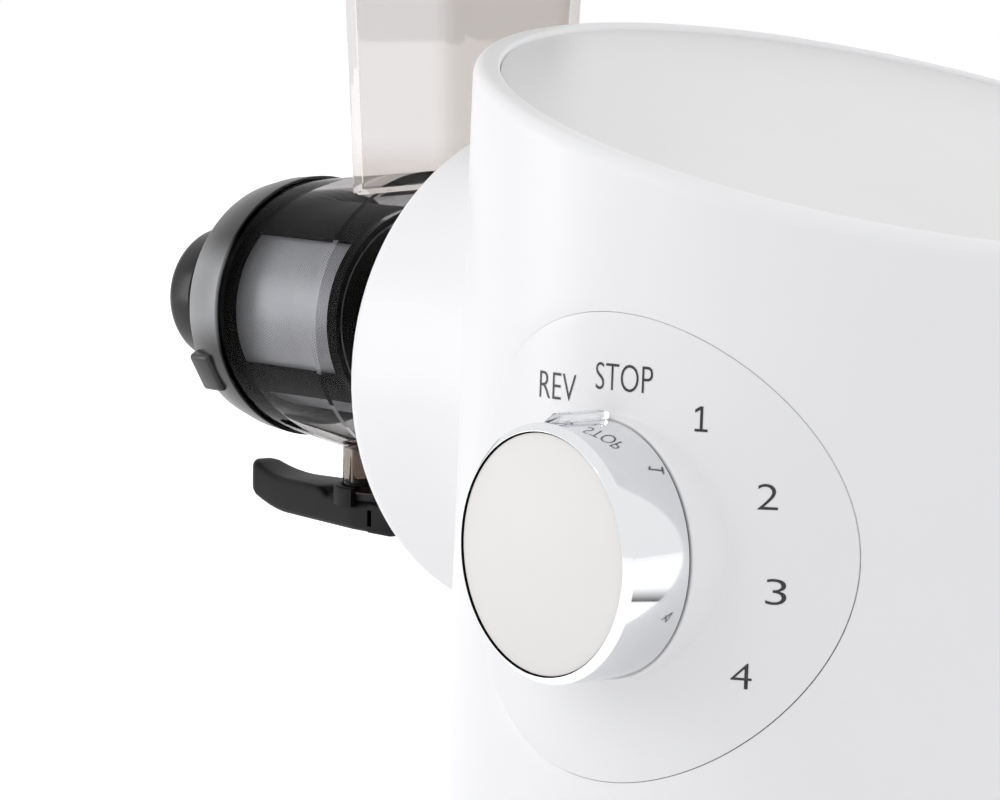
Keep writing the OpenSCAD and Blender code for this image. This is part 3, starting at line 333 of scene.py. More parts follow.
def makeTurnedLines():  # fine rings left by turning or spinning about an axis
    group, given, out = newGroup("turnedLines", [
        ("Centre", vectorKind, (0, 0, 0)), ("Axis", vectorKind, (0, 1, 0)),
        ("Rings", floatKind, 4000.0), ("Roughness", floatKind, 0.25), ("Spread", floatKind, 0.15)],
        [("Roughness", floatKind), ("Height", floatKind)])
    arm = vectorMath(group, "SUBTRACT", objectPoint(group), given.outputs["Centre"])
    radius = vectorMath(group, "LENGTH", vectorMath(group, "CROSS_PRODUCT", arm, given.outputs["Axis"]))
    along = vectorMath(group, "DOT_PRODUCT", arm, given.outputs["Axis"])
    across = times(group, radius, given.outputs["Rings"])
    along = times(group, along, given.outputs["Rings"])
    key = addNode(group, "ShaderNodeCombineXYZ", X=across, Y=along, Z=0.0).outputs[0]
    lines = noiseNode(group, key, 1.0, 2.0)
    return giveSkin(group, given, out, lines, lines)


mouldGrain = makeMouldGrain()
toneDrift = makeToneDrift()
turnedLines = makeTurnedLines()


def useGroup(tree, group, **values):
    return addNode(tree, "ShaderNodeGroup", {"node_tree": group}, **values)


def newMaterial(name, shown=None):
    material = bpy.data.materials.new(name)
    material.use_nodes = True
    if shown:
        material.diffuse_color = paint(shown)
    tree = material.node_tree
    return material, tree, tree.nodes["Principled BSDF"]


def setSockets(shader, values):  # a 0 in a name stands for a space
    for key, value in values.items():
        shader.inputs[key.replace("0", " ")].default_value = value


grainDepth = 0.00005  # metres


def joinFinish(tree, shader, color, skin, bump, sockets):
    relief = addNode(tree, "ShaderNodeBump", Height=skin.outputs["Height"], Strength=bump,
                     Distance=grainDepth)
    tree.links.new(color, shader.inputs["Base Color"])
    tree.links.new(skin.outputs["Roughness"], shader.inputs["Roughness"])
    tree.links.new(relief.outputs[0], shader.inputs["Normal"])
    setSockets(shader, sockets)


def twoTones(tree, tones, **values):
    return useGroup(tree, toneDrift, Tone0A=paint(tones[0]), Tone0B=paint(tones[1]),
                    **values).outputs["Color"]


def objectSpot(tree):  # the same point as three sockets
    return addNode(tree, "ShaderNodeSeparateXYZ", _0=objectPoint(tree)).outputs


def mouldedFinish(name, tones, roughness=0.3, spread=0.08, grain=1500.0, bump=0.02, speckle=0.0,
                  mirror=0.5, **sockets):
    # moulded or cast surface: two close tones, fine grain, drifting gloss
    material, tree, shader = newMaterial(name, tones[0])
    skin = useGroup(tree, mouldGrain, Grain0Scale=grain, Roughness=roughness, Spread=spread)
    sockets["Specular IOR Level"] = mirror
    joinFinish(tree, shader, twoTones(tree, tones, Speckle=speckle), skin, bump, sockets)
    return material


def turnedFinish(name, tones, centre, axis, roughness=0.25, spread=0.15, rings=4000.0, bump=0.05,
                 metallic=1.0, mirror=0.5):
    # turned, spun or ground metal: rings about an axis
    material, tree, shader = newMaterial(name, tones[0])
    skin = useGroup(tree, turnedLines, Centre=world(centre), Axis=axis, Rings=rings,
                    Roughness=roughness, Spread=spread)
    joinFinish(tree, shader, twoTones(tree, tones, Scale=20.0), skin, bump,
               {"Metallic": metallic, "Specular IOR Level": mirror})
    return material


def paintedLightBands(name, outer, inner, middle, widths, roughness=0.3, spread=0.08, bump=0.02):
    # painted light and shade: one pair of tones about a height, and another further off, in millimetres
    material, tree, shader = newMaterial(name, outer[0])
    away = mathNode(tree, "ABSOLUTE", mathNode(tree, "SUBTRACT", objectSpot(tree)[2], middle * mm))
    share = ranged(tree, away, widths[0] * mm, widths[1] * mm, 1.0, 0.0, "SMOOTHSTEP")
    color = mixed(tree, share, twoTones(tree, outer), twoTones(tree, inner))
    skin = useGroup(tree, mouldGrain, Roughness=roughness, Spread=spread)
    joinFinish(tree, shader, color, skin, bump, {})
    return material


def clearFinish(name, tones, edge, index=1.45, roughness=0.04, bump=0.01, deepening=0.8, upper=None):
    # see-through moulding whose smoke deepens towards the edges; upper holds the tone above some
    # heights, and the tone there on the tower's side
    material, tree, shader = newMaterial(name, edge)
    rim = addNode(tree, "ShaderNodeLayerWeight", Blend=0.5).outputs["Facing"]
    depth = times(tree, mathNode(tree, "POWER", rim, 3.0), deepening)
    color = mixed(tree, depth, twoTones(tree, tones, Scale=12.0), paint(edge))
    if upper:
        spot = objectSpot(tree)
        high = mixed(tree, times(tree, depth, 0.5), paint(upper["tone"]), paint(edge))
        near, far = [(x + towerX) * mm for x in upper["sideFrom"]]
        aside = ranged(tree, spot[0], near, far, kind="SMOOTHSTEP")
        high = mixed(tree, aside, high, paint(upper["side"]))
        above = ranged(tree, spot[2], *upper["heights"], kind="SMOOTHSTEP")
        color = mixed(tree, above, color, high)
    skin = useGroup(tree, mouldGrain, Grain0Scale=900.0, Roughness=roughness, Spread=0.04)
    joinFinish(tree, shader, color, skin, bump, {"Transmission Weight": 1.0, "IOR": index})
    return material


knob = {
    "x": 13.8,
    "radius": 25,
    "back": 82.99,
    "front": 98.69,
    "bevel": 1.5,
    "seat": 1.2,  # depth of the recess that takes the face
    "faceRecess": 0.45,
    "faceGap": 0.1,
    "faceInset": 0.35,
    "wall": 1.6,
    "stem": 6,
    "stemBack": 4,
    "bore": 3.02,
    "columns": 180,
}
knobCentre = (knob["x"], 0, tower["knobZ"])
drumLine = (0, 0, drumAxis)
alongX, alongY, alongZ = (1, 0, 0), (0, 1, 0), (0, 0, 1)

whiteGloss = mouldedFinish("whiteGloss", ("#F6F6F8", "#F4F4F6"), 0.34, 0.06, bump=0.012, mirror=0.3)
coverGrey = mouldedFinish("coverGrey", ("#EDEDEE", "#EAEAEB"), 0.32, 0.06, grain=2200.0, mirror=0.4)
dialWhite = mouldedFinish("dialWhite", ("#F4F4F6", "#F2F2F4"), 0.3, 0.05, bump=0.012, mirror=0.3)
paleGrey = mouldedFinish("paleGrey", ("#DADBDD", "#D3D4D6"), 0.42, 0.1, bump=0.05)
blackGloss = mouldedFinish("blackGloss", ("#0E0E0F", "#131315"), 0.24, 0.1, mirror=0.22)
blackSatin = mouldedFinish("blackSatin", ("#0A0A0B", "#101012"), 0.42, 0.12, mirror=0.08)
leverBlack = mouldedFinish("leverBlack", ("#111113", "#161618"), 0.5, 0.12, bump=0.06, mirror=0.1)
blackRubber = mouldedFinish("blackRubber", ("#2A2A2C", "#333335"), 0.72, 0.14, grain=900.0, bump=0.12,
                            speckle=0.3)
silicone = mouldedFinish("silicone", ("#C4C6C8", "#BBBDC0"), 0.5, 0.1, bump=0.04,
                         Subsurface0Weight=0.15, Subsurface0Radius=(0.002, 0.002, 0.002))
figureInk = mouldedFinish("figureInk", ("#1E1D1F", "#262528"), 0.45, 0.1)
# painted shade for the seam: light grey high up, near black low down
seamShade = paintedLightBands("seamShade", ("#D9D9DB", "#D3D3D5"), ("#1B1A1C", "#222123"), 86, (12, 62))
# painted reflection: a grey band about the drum's axis height, black above and below
capPaintedReflection = paintedLightBands("capPaintedReflection", ("#101011", "#161617"), ("#8F9092", "#87888B"), 161.7, (5, 14))
caseGrey = mouldedFinish("caseGrey", ("#5B5E63", "#53565B"), 0.5, 0.12, bump=0.08)
switchBlack = mouldedFinish("switchBlack", ("#25272A", "#2D2F33"), 0.45, 0.12, bump=0.06)
boardGreen = mouldedFinish("boardGreen", ("#2F6B4A", "#285E40"), 0.35, 0.2, grain=500.0, bump=0.1)
windingCopper = mouldedFinish("windingCopper", ("#8A5A34", "#74492A"), 0.35, 0.2, grain=400.0,
                              bump=0.3, Metallic=0.8)
ferriteGrey = mouldedFinish("ferriteGrey", ("#47484B", "#3E3F42"), 0.6, 0.1, bump=0.1)
gearNylon = mouldedFinish("gearNylon", ("#E6E0CE", "#DBD4C0"), 0.4, 0.1, bump=0.04,
                          Subsurface0Weight=0.1, Subsurface0Radius=(0.002, 0.002, 0.001))
plateSteel = mouldedFinish("plateSteel", ("#A9ACAF", "#9FA2A6"), 0.42, 0.2, grain=300.0, bump=0.1,
                           Metallic=1.0)
knobChrome = turnedFinish("knobChrome", ("#E9EAEC", "#E4E5E8"), knobCentre, alongY, 0.07, 0.03,
                          bump=0.008)
knobSatin = turnedFinish("knobSatin", ("#F1EFED", "#EEECEA"), knobCentre, alongY, 0.55, 0.12,
                         rings=6000.0, bump=0.04, metallic=0.0, mirror=0.2)
gearSteel = turnedFinish("gearSteel", ("#BDBFC3", "#AEB0B4"), drumLine, alongX, 0.32, 0.2)
screwSteel = turnedFinish("screwSteel", ("#8F9195", "#83858A"), drumLine, alongZ, 0.38, 0.2)
bronze = turnedFinish("bronze", ("#B08D4A", "#9E7D40"), drumLine, alongX, 0.5, 0.15)
smokyClear = clearFinish("smokyClear", ("#DEDDDE", "#D9D8D9"), "#4E433B", 1.05, bump=0.002,
                         deepening=0.95)
spoutClear = clearFinish("spoutClear", ("#948A84", "#8C827B"), "#3A302A", 1.12, deepening=0.6)
chuteClear = clearFinish("chuteClear", ("#DCD7D3", "#D7D2CE"), "#9A948D", 1.08, bump=0.002,
                         deepening=0.45, upper={"tone": "#E8E6E6", "heights": (0.187, 0.2),
                                                "side": "#D2CDC9", "sideFrom": (-120, -109)})
trayClear = clearFinish("trayClear", ("#F6F3F0", "#F1EEEA"), "#8A7C74", deepening=0.6)
clearTab = clearFinish("clearTab", ("#F4F5F6", "#EEEFF1"), "#A9ADB0", 1.2, roughness=0.03,
                       deepening=0.4)
pusherClear = clearFinish("pusherClear", ("#F6F5F4", "#F2F1F0"), "#8A827B", 1.16, bump=0.002)


sheet = {
    "perTurn": 240.0,
    "pitch": 0.00065,  # metres between the rows
    "hole": 0.27,  # radius as a share of the pitch
    "rim": (0.28, 0.42),
    "rimDepth": 0.0001,
}


def sheetHoles(tree):  # staggered round holes of a rolled sheet about the drum's axis
    arm = vectorMath(tree, "SUBTRACT", objectPoint(tree), world(drumLine))
    split = addNode(tree, "ShaderNodeSeparateXYZ", _0=arm).outputs
    turn = times(tree, mathNode(tree, "ARCTAN2", split[1], split[2]), 0.5 / pi)
    row = mathNode(tree, "DIVIDE", split[0], sheet["pitch"])
    shift = times(tree, mathNode(tree, "MODULO", mathNode(tree, "FLOOR", row), 2.0), 0.5)
    around = mathNode(tree, "ADD", times(tree, turn, sheet["perTurn"]), shift)
    u = mathNode(tree, "SUBTRACT", mathNode(tree, "FRACT", around), 0.5)
    v = mathNode(tree, "SUBTRACT", mathNode(tree, "FRACT", row), 0.5)
    distance = mathNode(tree, "SQRT", mathNode(tree, "ADD", times(tree, u, u), times(tree, v, v)))
    mask = mathNode(tree, "LESS_THAN", distance, sheet["hole"])
    return mask, ranged(tree, distance, *sheet["rim"])


def makeMeshSteel():
    material, tree, shader = newMaterial("meshSteel")
    tone = twoTones(tree, ("#DADDE0", "#CDD0D4"), Scale=60.0)
    holes, rim = sheetHoles(tree)
    skin = useGroup(tree, mouldGrain, Grain0Scale=2000.0, Roughness=0.35, Spread=0.2)
    relief = addNode(tree, "ShaderNodeBump", Height=rim, Strength=0.4, Distance=sheet["rimDepth"])
    solid = mathNode(tree, "SUBTRACT", 1.0, holes)
    for value, socket in ((tone, "Base Color"), (skin.outputs["Roughness"], "Roughness"),
                          (solid, "Alpha"), (relief.outputs[0], "Normal")):
        tree.links.new(value, shader.inputs[socket])
    setSockets(shader, {"Metallic": 0.6})
    return material


meshSteel = makeMeshSteel()
print("stage: helpers and finishes ready")

# Tower and neck in one moulding
body = {
    "columns": 288,  # 1.25 degrees each
    "lowRows": 18,
    "highRows": 30,
    "splitZ": 78,
    "bottomRound": 0.8,
    "ledge": 2.5,
    "ledgeThick": 3,
    "neckZ": 150.5,
    "neckRadius": 55.43,
    "neckEnd": 103.0,
    "neckRound": 6,
    "neckFillet": 1.2,
    "neckSpread": (0.35, 0.65, 0.87, 1.0),  # shares of the way from the patch to the fillet
    "neckRun": (0.34, 0.67, 1.0),
    "insideSpread": (0.4, 0.75),
    "mouthRadius": 48.43,
    "mouthLip": 4,
    "mouthRound": ((0.6, 0), (0.3, 0.08), (0.08, 0.3), (0, 0.6)),  # radius and depth of its edge
    "rimEdge": ((4.6, 0), (5.05, 0.06), (5.35, 0.25), (5.5, 0.6)),  # inset and depth inside the rim
    "neckPatch": (-112, -32, 1, 28),  # columns and rows that the neck's patch takes
    "dialPatch": (-24, 42, 0, 25),
    "dialRadius": 45.3,
    "dialDepth": 1.65,
    "dialSpread": (0.4, 0.75, 1.0),
    "dialEdge": ((0.06, 0.04), (0, 0.18)),  # radius and inset of the pocket's rounded edge
    "dialRings": (33.3, 20, 8),
    "coverGap": 0.02,
}


def rimPoint(theta, inset, depth):  # radius and height in the radial plane at theta
    t = tan(radians(tower["draft"]))
    drop = depth / cos(radians(tower["slope"]))
    lean = tan(radians(tower["slope"])) * sin(theta)
    r = (tower["radius"] - inset + (tower["knobZ"] - tower["topZ"] + drop) * t) / (1 - lean * t)
    return r, tower["topZ"] - drop - r * lean


def sweptPoint(theta, r, z):
    return (r * sin(theta), -r * cos(theta), z)


def towerRows():
    # every row is a function of theta giving (radius, height), outside up and inside down
    rows = []
    base, split, inset = tower["baseZ"], body["splitZ"], tower["wall"]
    soft = body["bottomRound"]
    rows.append(lambda th: (towerAt(base) - soft, base))
    for k in (1, 2):
        a = pi / 2 * k / 3
        rows.append(lambda th, a=a: (towerAt(base) - soft * (1 - sin(a)), base + soft * (1 - cos(a))))
    for j in range(body["lowRows"]):
        z = base + soft + (split - base - soft) * j / body["lowRows"]
        rows.append(lambda th, z=z: (towerAt(z), z))
    firstHigh = len(rows)

    def highRow(t, inside, depth):
        def point(th):
            z = split + (rimPoint(th, inside, depth)[1] - split) * t
            return towerAt(z) - inside, z
        return point
    for j in range(body["highRows"] + 1):
        rows.append(highRow(j / body["highRows"], 0, tower["rimRoll"]))
    roll = tower["rimRoll"]
    for k in range(1, 8):
        a = pi / 2 * k / 7
        rows.append(lambda th, a=a: rimPoint(th, roll * (1 - cos(a)), roll * (1 - sin(a))))
    lip = tower["coverDrop"] + tower["coverThick"] + body["coverGap"]
    for inner, depth in body["rimEdge"] + ((tower["rimWidth"], lip),):
        rows.append(lambda th, i=inner, d=depth: rimPoint(th, i, d))
    ledge = tower["rimWidth"] + body["ledge"]
    for inner, depth in ((ledge, lip), (ledge, lip + body["ledgeThick"])):
        rows.append(lambda th, i=inner, d=depth: rimPoint(th, i, d))
    firstInner = len(rows)
    for j in range(body["highRows"], -1, -1):
        rows.append(highRow(j / body["highRows"], inset, lip + body["ledgeThick"]))
    for j in range(body["lowRows"] - 1, -1, -1):
        z = base + (split - base) * j / body["lowRows"]
        rows.append(lambda th, z=z: (towerAt(z) - inset, z))
    return rows, firstHigh, firstInner


def makeBodyShell():
    bm = bmesh.new()
    count = body["columns"]
    rows, firstHigh, firstInner = towerRows()
    grid = []
    for row in rows:
        grid.append([bm.verts.new(world(sweptPoint(a, *row(a)))) for a in anglesRound(count)])

    def innerRow(j):  # row of the inside that matches high row j
        return firstInner + body["highRows"] - j
    skipped = set()
    for patch in ("neckPatch", "dialPatch"):
        k0, k1, j0, j1 = body[patch]
        for k in range(k0, k1):
            for j in range(j0, j1):
                skipped.add((firstHigh + j, k % count))
                if patch == "neckPatch":
                    skipped.add((innerRow(j + 1), k % count))
    for i in range(len(grid)):
        low, high = grid[i], grid[(i + 1) % len(grid)]
        for k in range(count):
            if (i, k) not in skipped:
                bm.faces.new((low[k], low[(k + 1) % count], high[(k + 1) % count], high[k]))

    def perimeter(patch, rowOf):
        k0, k1, j0, j1 = body[patch]
        loop = [(k, j0) for k in range(k0, k1)] + [(k1, j) for j in range(j0, j1)]
        loop += [(k, j1) for k in range(k1, k0, -1)] + [(k0, j) for j in range(j1, j0, -1)]
        return [grid[rowOf(j)][k % count] for k, j in loop]

    def local(vertex):
        return vertex.co / mm - Vector((towerX, towerY, 0))

    def grown(last, points):  # a new ring, joined to the last one
        ring = [bm.verts.new(world(p)) for p in points]
        bridge(bm, last, ring)
        return ring

    # neck: rings on the tower's wall, a small fillet, the neck's wall and its mouth
    neckZ, neckR = body["neckZ"], body["neckRadius"]
    outerLoop = perimeter("neckPatch", lambda j: firstHigh + j)
    innerLoop = perimeter("neckPatch", innerRow)
    spots = [local(v) for v in outerLoop]
    angles = [atan2(p.y, p.z - neckZ) for p in spots]

    def wallReach(y, z, inset):
        return sqrt((towerAt(z) - inset) ** 2 - y * y)

    def onWall(angle, r, inset):
        y, z = r * sin(angle), neckZ + r * cos(angle)
        return wallReach(y, z, inset)

    fillet = body["neckFillet"]
    last = outerLoop
    for t in body["neckSpread"]:
        points = []
        for p, a in zip(spots, angles):
            r = neckR + fillet
            y = p.y + (r * sin(a) - p.y) * t
            z = p.z + (neckZ + r * cos(a) - p.z) * t
            points.append((-wallReach(y, z, 0), y, z))
        last = grown(last, points)

    def neckRing(last, pairs):
        return grown(last, [(-reach, r * sin(a), neckZ + r * cos(a))
                            for a, (r, reach) in zip(angles, pairs)])
    for k in range(1, 5):
        t = k / 4
        pairs = []
        for a in angles:
            start = Vector((neckR + fillet, onWall(a, neckR + fillet, 0)))
            knee = Vector((neckR, onWall(a, neckR, 0)))
            end = Vector((neckR, knee.y + fillet))
            pairs.append(bent(start, knee, end, t))
        last = neckRing(last, pairs)
    straight = body["neckEnd"] - body["neckRound"]
    for t in body["neckRun"]:
        pairs = []
        for a in angles:
            start = onWall(a, neckR, 0) + fillet
            pairs.append((neckR, start + (straight - start) * t))
        last = neckRing(last, pairs)
    turn = body["neckRound"]
    profile = [(neckR - turn * (1 - cos(pi / 2 * k / 10)), straight + turn * sin(pi / 2 * k / 10))
               for k in range(1, 11)]
    mouth, end = body["mouthRadius"], body["neckEnd"]
    profile += [(mouth + out, end - deep) for out, deep in body["mouthRound"]]
    profile += [(mouth, end - body["mouthLip"]), (neckR - tower["wall"], end - body["mouthLip"])]
    for pair in profile:
        last = neckRing(last, [pair] * len(angles))
    inner = neckR - tower["wall"]
    last = neckRing(last, [(inner, onWall(a, inner, tower["wall"])) for a in angles])
    innerSpots = [local(v) for v in innerLoop]
    for t in body["insideSpread"]:
        points = []
        for p, a in zip(innerSpots, angles):
            y = inner * sin(a) + (p.y - inner * sin(a)) * t
            z = neckZ + inner * cos(a) + (p.z - neckZ - inner * cos(a)) * t
            points.append((-wallReach(y, z, tower["wall"]), y, z))
        last = grown(last, points)
    bridge(bm, last, innerLoop)

    # dial pocket in the tower's front
    frontLoop = perimeter("dialPatch", lambda j: firstHigh + j)
    spots = [local(v) for v in frontLoop]
    angles = [atan2(p.x - knob["x"], p.z - tower["knobZ"]) for p in spots]
    last = frontLoop
    edge = body["dialRadius"]
    rim = edge + 0.2
    for t in body["dialSpread"]:
        points = []
        for p, a in zip(spots, angles):
            x = p.x + (knob["x"] + rim * sin(a) - p.x) * t
            z = p.z + (tower["knobZ"] + rim * cos(a) - p.z) * t
            points.append(frontPoint(x, z, 0))
        last = grown(last, points)
    depth = body["dialDepth"]
    steps = [(edge + out, inset) for out, inset in body["dialEdge"]]
    steps += [(r, depth) for r in (edge,) + body["dialRings"]]
    for r, inset in steps:
        last = grown(last, [dialPoint(a, r, inset) for a in angles])
    middle = bm.verts.new(world(dialPoint(0, 0, depth)))
    for k in range(len(last)):
        bm.faces.new((last[k], last[(k + 1) % len(last)], middle))
    addPiece("bodyShell", bm, whiteGloss, "housing", ["body_shell"], sharp=40)


makeBodyShell()
print("stage: body shell made")


# Sloping cover
cover = {"gap": 0.15, "lowEdge": 0.4, "topEdge": 0.5, "flat": 60, "columns": 216}


def makeTopCover():
    bm = bmesh.new()
    inset = tower["rimWidth"] + cover["gap"]
    top = tower["coverDrop"]
    bottom = top + tower["coverThick"]
    inner = inset + cover["flat"]
    path = softPath([(inner, bottom), (inset, bottom, cover["lowEdge"]), (inset, top, cover["topEdge"]),
                     (inner, top)], 4)
    slant = cos(radians(tower["slope"]))
    angles = anglesRound(cover["columns"])
    rings = [[(0, 0, tower["topZ"] - bottom / slant)] * len(angles)]
    for inward, depth in path:
        rings.append([sweptPoint(a, *rimPoint(a, inward, depth)) for a in angles])
    rings.append([(0, 0, tower["topZ"] - top / slant)] * len(angles))
    ringFaces(bm, rings)
    addPiece("topCover", bm, coverGrey, "housing", ["top_cover"])


makeTopCover()

# Dial plate with the boss under the knob
dial = {
    "radius": 45.24,
    "raised": 0.12,
    "thick": 1.6,
    "edgeRound": 0.06,
    "bossRadius": 25.6,
    "bossOut": 82.69,
    "bossRound": 0.5,
    "hole": 9.3,
    "shade": (20, 190),  # degrees from the top where the seam's side wall is painted dark as shade, darker below
    "columns": 180,
    "rings": (43, 40, 37, 34, 31, 29, 27.6),
    "bossFoot": 0.9,
    "backRings": (20, 32),
}


def makeDialPlate():
    bm = bmesh.new()
    angles = anglesRound(dial["columns"])
    edge, soft = dial["radius"], dial["edgeRound"]
    back, up = dial["thick"], dial["raised"]
    rings = [[dialPoint(a, edge, back) for a in angles]]
    for k in range(4):
        t = pi / 2 * k / 3
        rings.append([dialPoint(a, edge - soft * (1 - cos(t)), soft * (1 - sin(t)) - up)
                      for a in angles])
    bossR = dial["bossRadius"]
    for r in dial["rings"]:
        rings.append([dialPoint(a, r, -up) for a in angles])
    for k in range(5):  # fillet between the curved plate and the boss
        t = k / 4
        ring = []
        for a in angles:
            foot = -dialPoint(a, bossR, -up)[1]
            rise = dial["bossOut"] - foot
            f = min(dial["bossFoot"], rise * 0.4)
            start = Vector((bossR + f, -dialPoint(a, bossR + f, -up)[1]))
            p = bent(start, Vector((bossR, foot)), Vector((bossR, foot + f)), t)
            ring.append(aroundKnob(a, p.x, p.y))
        rings.append(ring)
    for k in range(5):
        t = pi / 2 * k / 4
        ring = []
        for a in angles:
            rise = dial["bossOut"] + dialPoint(a, bossR, -up)[1]
            f = min(dial["bossRound"], rise * 0.4)
            ring.append(aroundKnob(a, bossR - f * (1 - cos(t)), dial["bossOut"] - f * (1 - sin(t))))
        rings.append(ring)
    rings.append([aroundKnob(a, dial["hole"], dial["bossOut"]) for a in angles])
    for r in (dial["hole"], *dial["backRings"]):
        rings.append([dialPoint(a, r, back) for a in angles])
    ringFaces(bm, rings, True)
    piece = addPiece("dialPlate", bm, dialWhite, "housing", ["dial_plate"], 40)

    def onEdge(p, normal):  # painted shade on the side wall in the seam, right and below
        side, rise = p.x - knob["x"], p.z - tower["knobZ"]
        first, last = dial["shade"]
        turn = atan2(side, rise) % (2 * pi)
        return hypot(side, rise) > edge - 0.01 and radians(first) < turn < radians(last)
    paintFaces(piece, seamShade, onEdge)


makeDialPlate()

# Figures printed on the dial
figures = {
    "lift": 0.22,  # above the tower's wall
    "thin": -0.012,  # drawn in from the font's outline, in letter heights
    "words": [  # word, angle from the top, distance from the knob's axis, cap height, width
        ("REV", -25.7, 33.1, 5.2, 10.7),
        ("STOP", 4.8, 33.0, 5.2, 13.2),
        ("2", 68.6, 33.8, 4.9, 3.4),
        ("3", 99.4, 33.9, 4.9, 3.3),
        ("4", 127.7, 35.8, 4.9, 3.6),
    ],
    "one": (36.3, 32.6, 2.4),  # angle, distance and half height of the plain 1, with flag and foot
    "oneStrokes": [
        [(-0.18, 0.5), (0.36, 0.5), (0.36, 4.8), (-0.18, 4.8)],
        [(-1.15, 0.0), (1.3, 0.0), (1.3, 0.5), (-1.15, 0.5)],
        [(-1.15, 3.55), (-0.18, 4.15), (-0.18, 4.8), (-1.15, 4.15)],
    ],
}


def makeFigures():
    bm = bmesh.new()

    def printed(x, z):
        spot = frontPoint(x, z, 0)
        return bm.verts.new(world((x, spot[1] - figures["lift"], z)))
    for word, angle, distance, height, width in figures["words"]:
        curve = bpy.data.curves.new("figure" + word, "FONT")
        curve.body = word
        curve.offset = figures["thin"]
        curve.resolution_u = 6
        holder = newObject("figure" + word, curve)
        bpy.context.view_layer.update()
        shaped = holder.evaluated_get(bpy.context.evaluated_depsgraph_get())
        flat = bpy.data.meshes.new_from_object(shaped)
        xs = [v.co.x for v in flat.vertices]
        ys = [v.co.y for v in flat.vertices]
        scaleX = width / (max(xs) - min(xs))
        scaleY = height / (max(ys) - min(ys))
        midX, midY = (max(xs) + min(xs)) / 2, (max(ys) + min(ys)) / 2
        atX = knob["x"] + distance * sin(radians(angle))
        atZ = tower["knobZ"] + distance * cos(radians(angle))
        made = [printed(atX + (v.co.x - midX) * scaleX, atZ + (v.co.y - midY) * scaleY)
                for v in flat.vertices]
        for polygon in flat.polygons:
            bm.faces.new([made[i] for i in polygon.vertices])
        bpy.data.objects.remove(holder)
        bpy.data.meshes.remove(flat)
        bpy.data.curves.remove(curve)
    angle, distance, half = figures["one"]
    atX = knob["x"] + distance * sin(radians(angle))
    atZ = tower["knobZ"] + distance * cos(radians(angle)) - half
    for stroke in figures["oneStrokes"]:
        bm.faces.new([printed(atX + across, atZ + rise) for across, rise in stroke])
    piece = addPiece("dialFigures", bm, figureInk, "housing", sharp=180)
    for polygon in piece.data.polygons:  # all letters face out
        if polygon.normal.y > 0:
            polygon.flip()


makeFigures()
print("stage: cover, dial and figures made")


# Knob: chromed cup, satin face and clear tab

def makeKnob():
    back, front, radius = knob["back"], knob["front"], knob["radius"]
    bevel, wall, stem, bore = knob["bevel"], knob["wall"], knob["stem"], knob["bore"]
    seat = front - knob["seat"]
    under = seat - 2
    inner = radius - bevel - knob["faceGap"]
    shell = turned([
        (0, seat), (inner, seat), (inner, front - 0.1, 0.1), (radius - bevel, front, 0.25),
        (radius, front - bevel, 0.35), (radius, back, 0.25), (radius - wall, back, 0.15),
        (radius - wall, under), (stem, under), (stem, back + knob["stemBack"]),
        (bore, back + knob["stemBack"]), (bore, seat - 3), (0, seat - 3)],
        aroundKnob, knob["columns"], 4, False)
    cup = addPiece("knobShell", shell, knobChrome, "knob", ["knob_shell"])

    def inShade(p, normal):  # painted shade: black on the recess round the face, and on the back
        r = hypot(p.x - knob["x"], p.z - tower["knobZ"])
        inRecess = r < inner + 0.02 and seat - 0.1 < -p.y < front - 0.02
        return inRecess or -p.y < back + 0.3
    paintFaces(cup, blackSatin, inShade)
    disc, top = radius - bevel - knob["faceInset"], front - knob["faceRecess"]
    face = turned([(0, seat), (disc, seat, 0.1), (disc, top, 0.12), (0, top)],
                  aroundKnob, knob["columns"], 3, False)
    addPiece("knobFace", face, knobSatin, "knob", ["knob_face"])


pointer = {"width": 3.2, "rise": 1.6, "taper": 2.5, "round": 0.25, "seat": 0.01, "short": 0.2}


def makePointer():
    bm = bmesh.new()
    foot = tower["knobZ"] + knob["radius"] + pointer["seat"]
    front = knob["front"] - knob["bevel"] - pointer["short"]
    top = foot + pointer["rise"]
    side = [(knob["back"], foot), (front, foot), (front - pointer["taper"], top), (knob["back"], top)]
    rows = []
    for x in (knob["x"] - pointer["width"] / 2, knob["x"] + pointer["width"] / 2):
        rows.append([bm.verts.new(world((x, -y, z))) for y, z in side])
    bm.faces.new(rows[0])
    bm.faces.new(rows[1][::-1])
    for k in range(4):
        bm.faces.new((rows[0][k], rows[1][k], rows[1][(k + 1) % 4], rows[0][(k + 1) % 4]))
    roundEdges(bm, bm.edges[:], pointer["round"])
    addPiece("knobPointer", bm, clearTab, "knob", ["knob_pointer"], sharp=50)


makeKnob()
makePointer()
print("stage: knob made")


# End cap, pulp nozzle and flap
def roundedBlock(bm, low, high, turn, soft):
    # a block between two corners, its edges rounded, placed by turn
    made = bmesh.ops.create_cube(bm, size=1.0)["verts"]
    middle = [(a + b) / 2 for a, b in zip(low, high)]
    for v in made:
        v.co = Vector(world(turn([middle[i] + v.co[i] * (high[i] - low[i]) for i in range(3)])))
    bmesh.ops.recalc_face_normals(bm, faces=list({face for v in made for face in v.link_faces}))
    roundEdges(bm, list({edge for v in made for edge in v.link_edges}), soft)


cap = {
    "rear": 186.4,
    "front": 195.4,
    "bore": 27.7,
    "skirt": ((29.72, 186.4), (30.2, 181.6), (30.9, 181.6, 0.4), (30.3, 188)),  # over the drum's rim
    "shoulder": (28.6, 1.8),  # radius and rounding
    "dish": (20, 0.5),  # radius and depth of the flat front
    "spout": 12.4,
    "spoutEnd": 204.4,
    "inner": 190.6,
    "hole": 9.5,
    "tabAngles": (240, 60),
    "tabRadii": (27.9, 31.3),
    "tabHalf": 5,
    "tabRound": 1.1,
    "columns": 144,
}


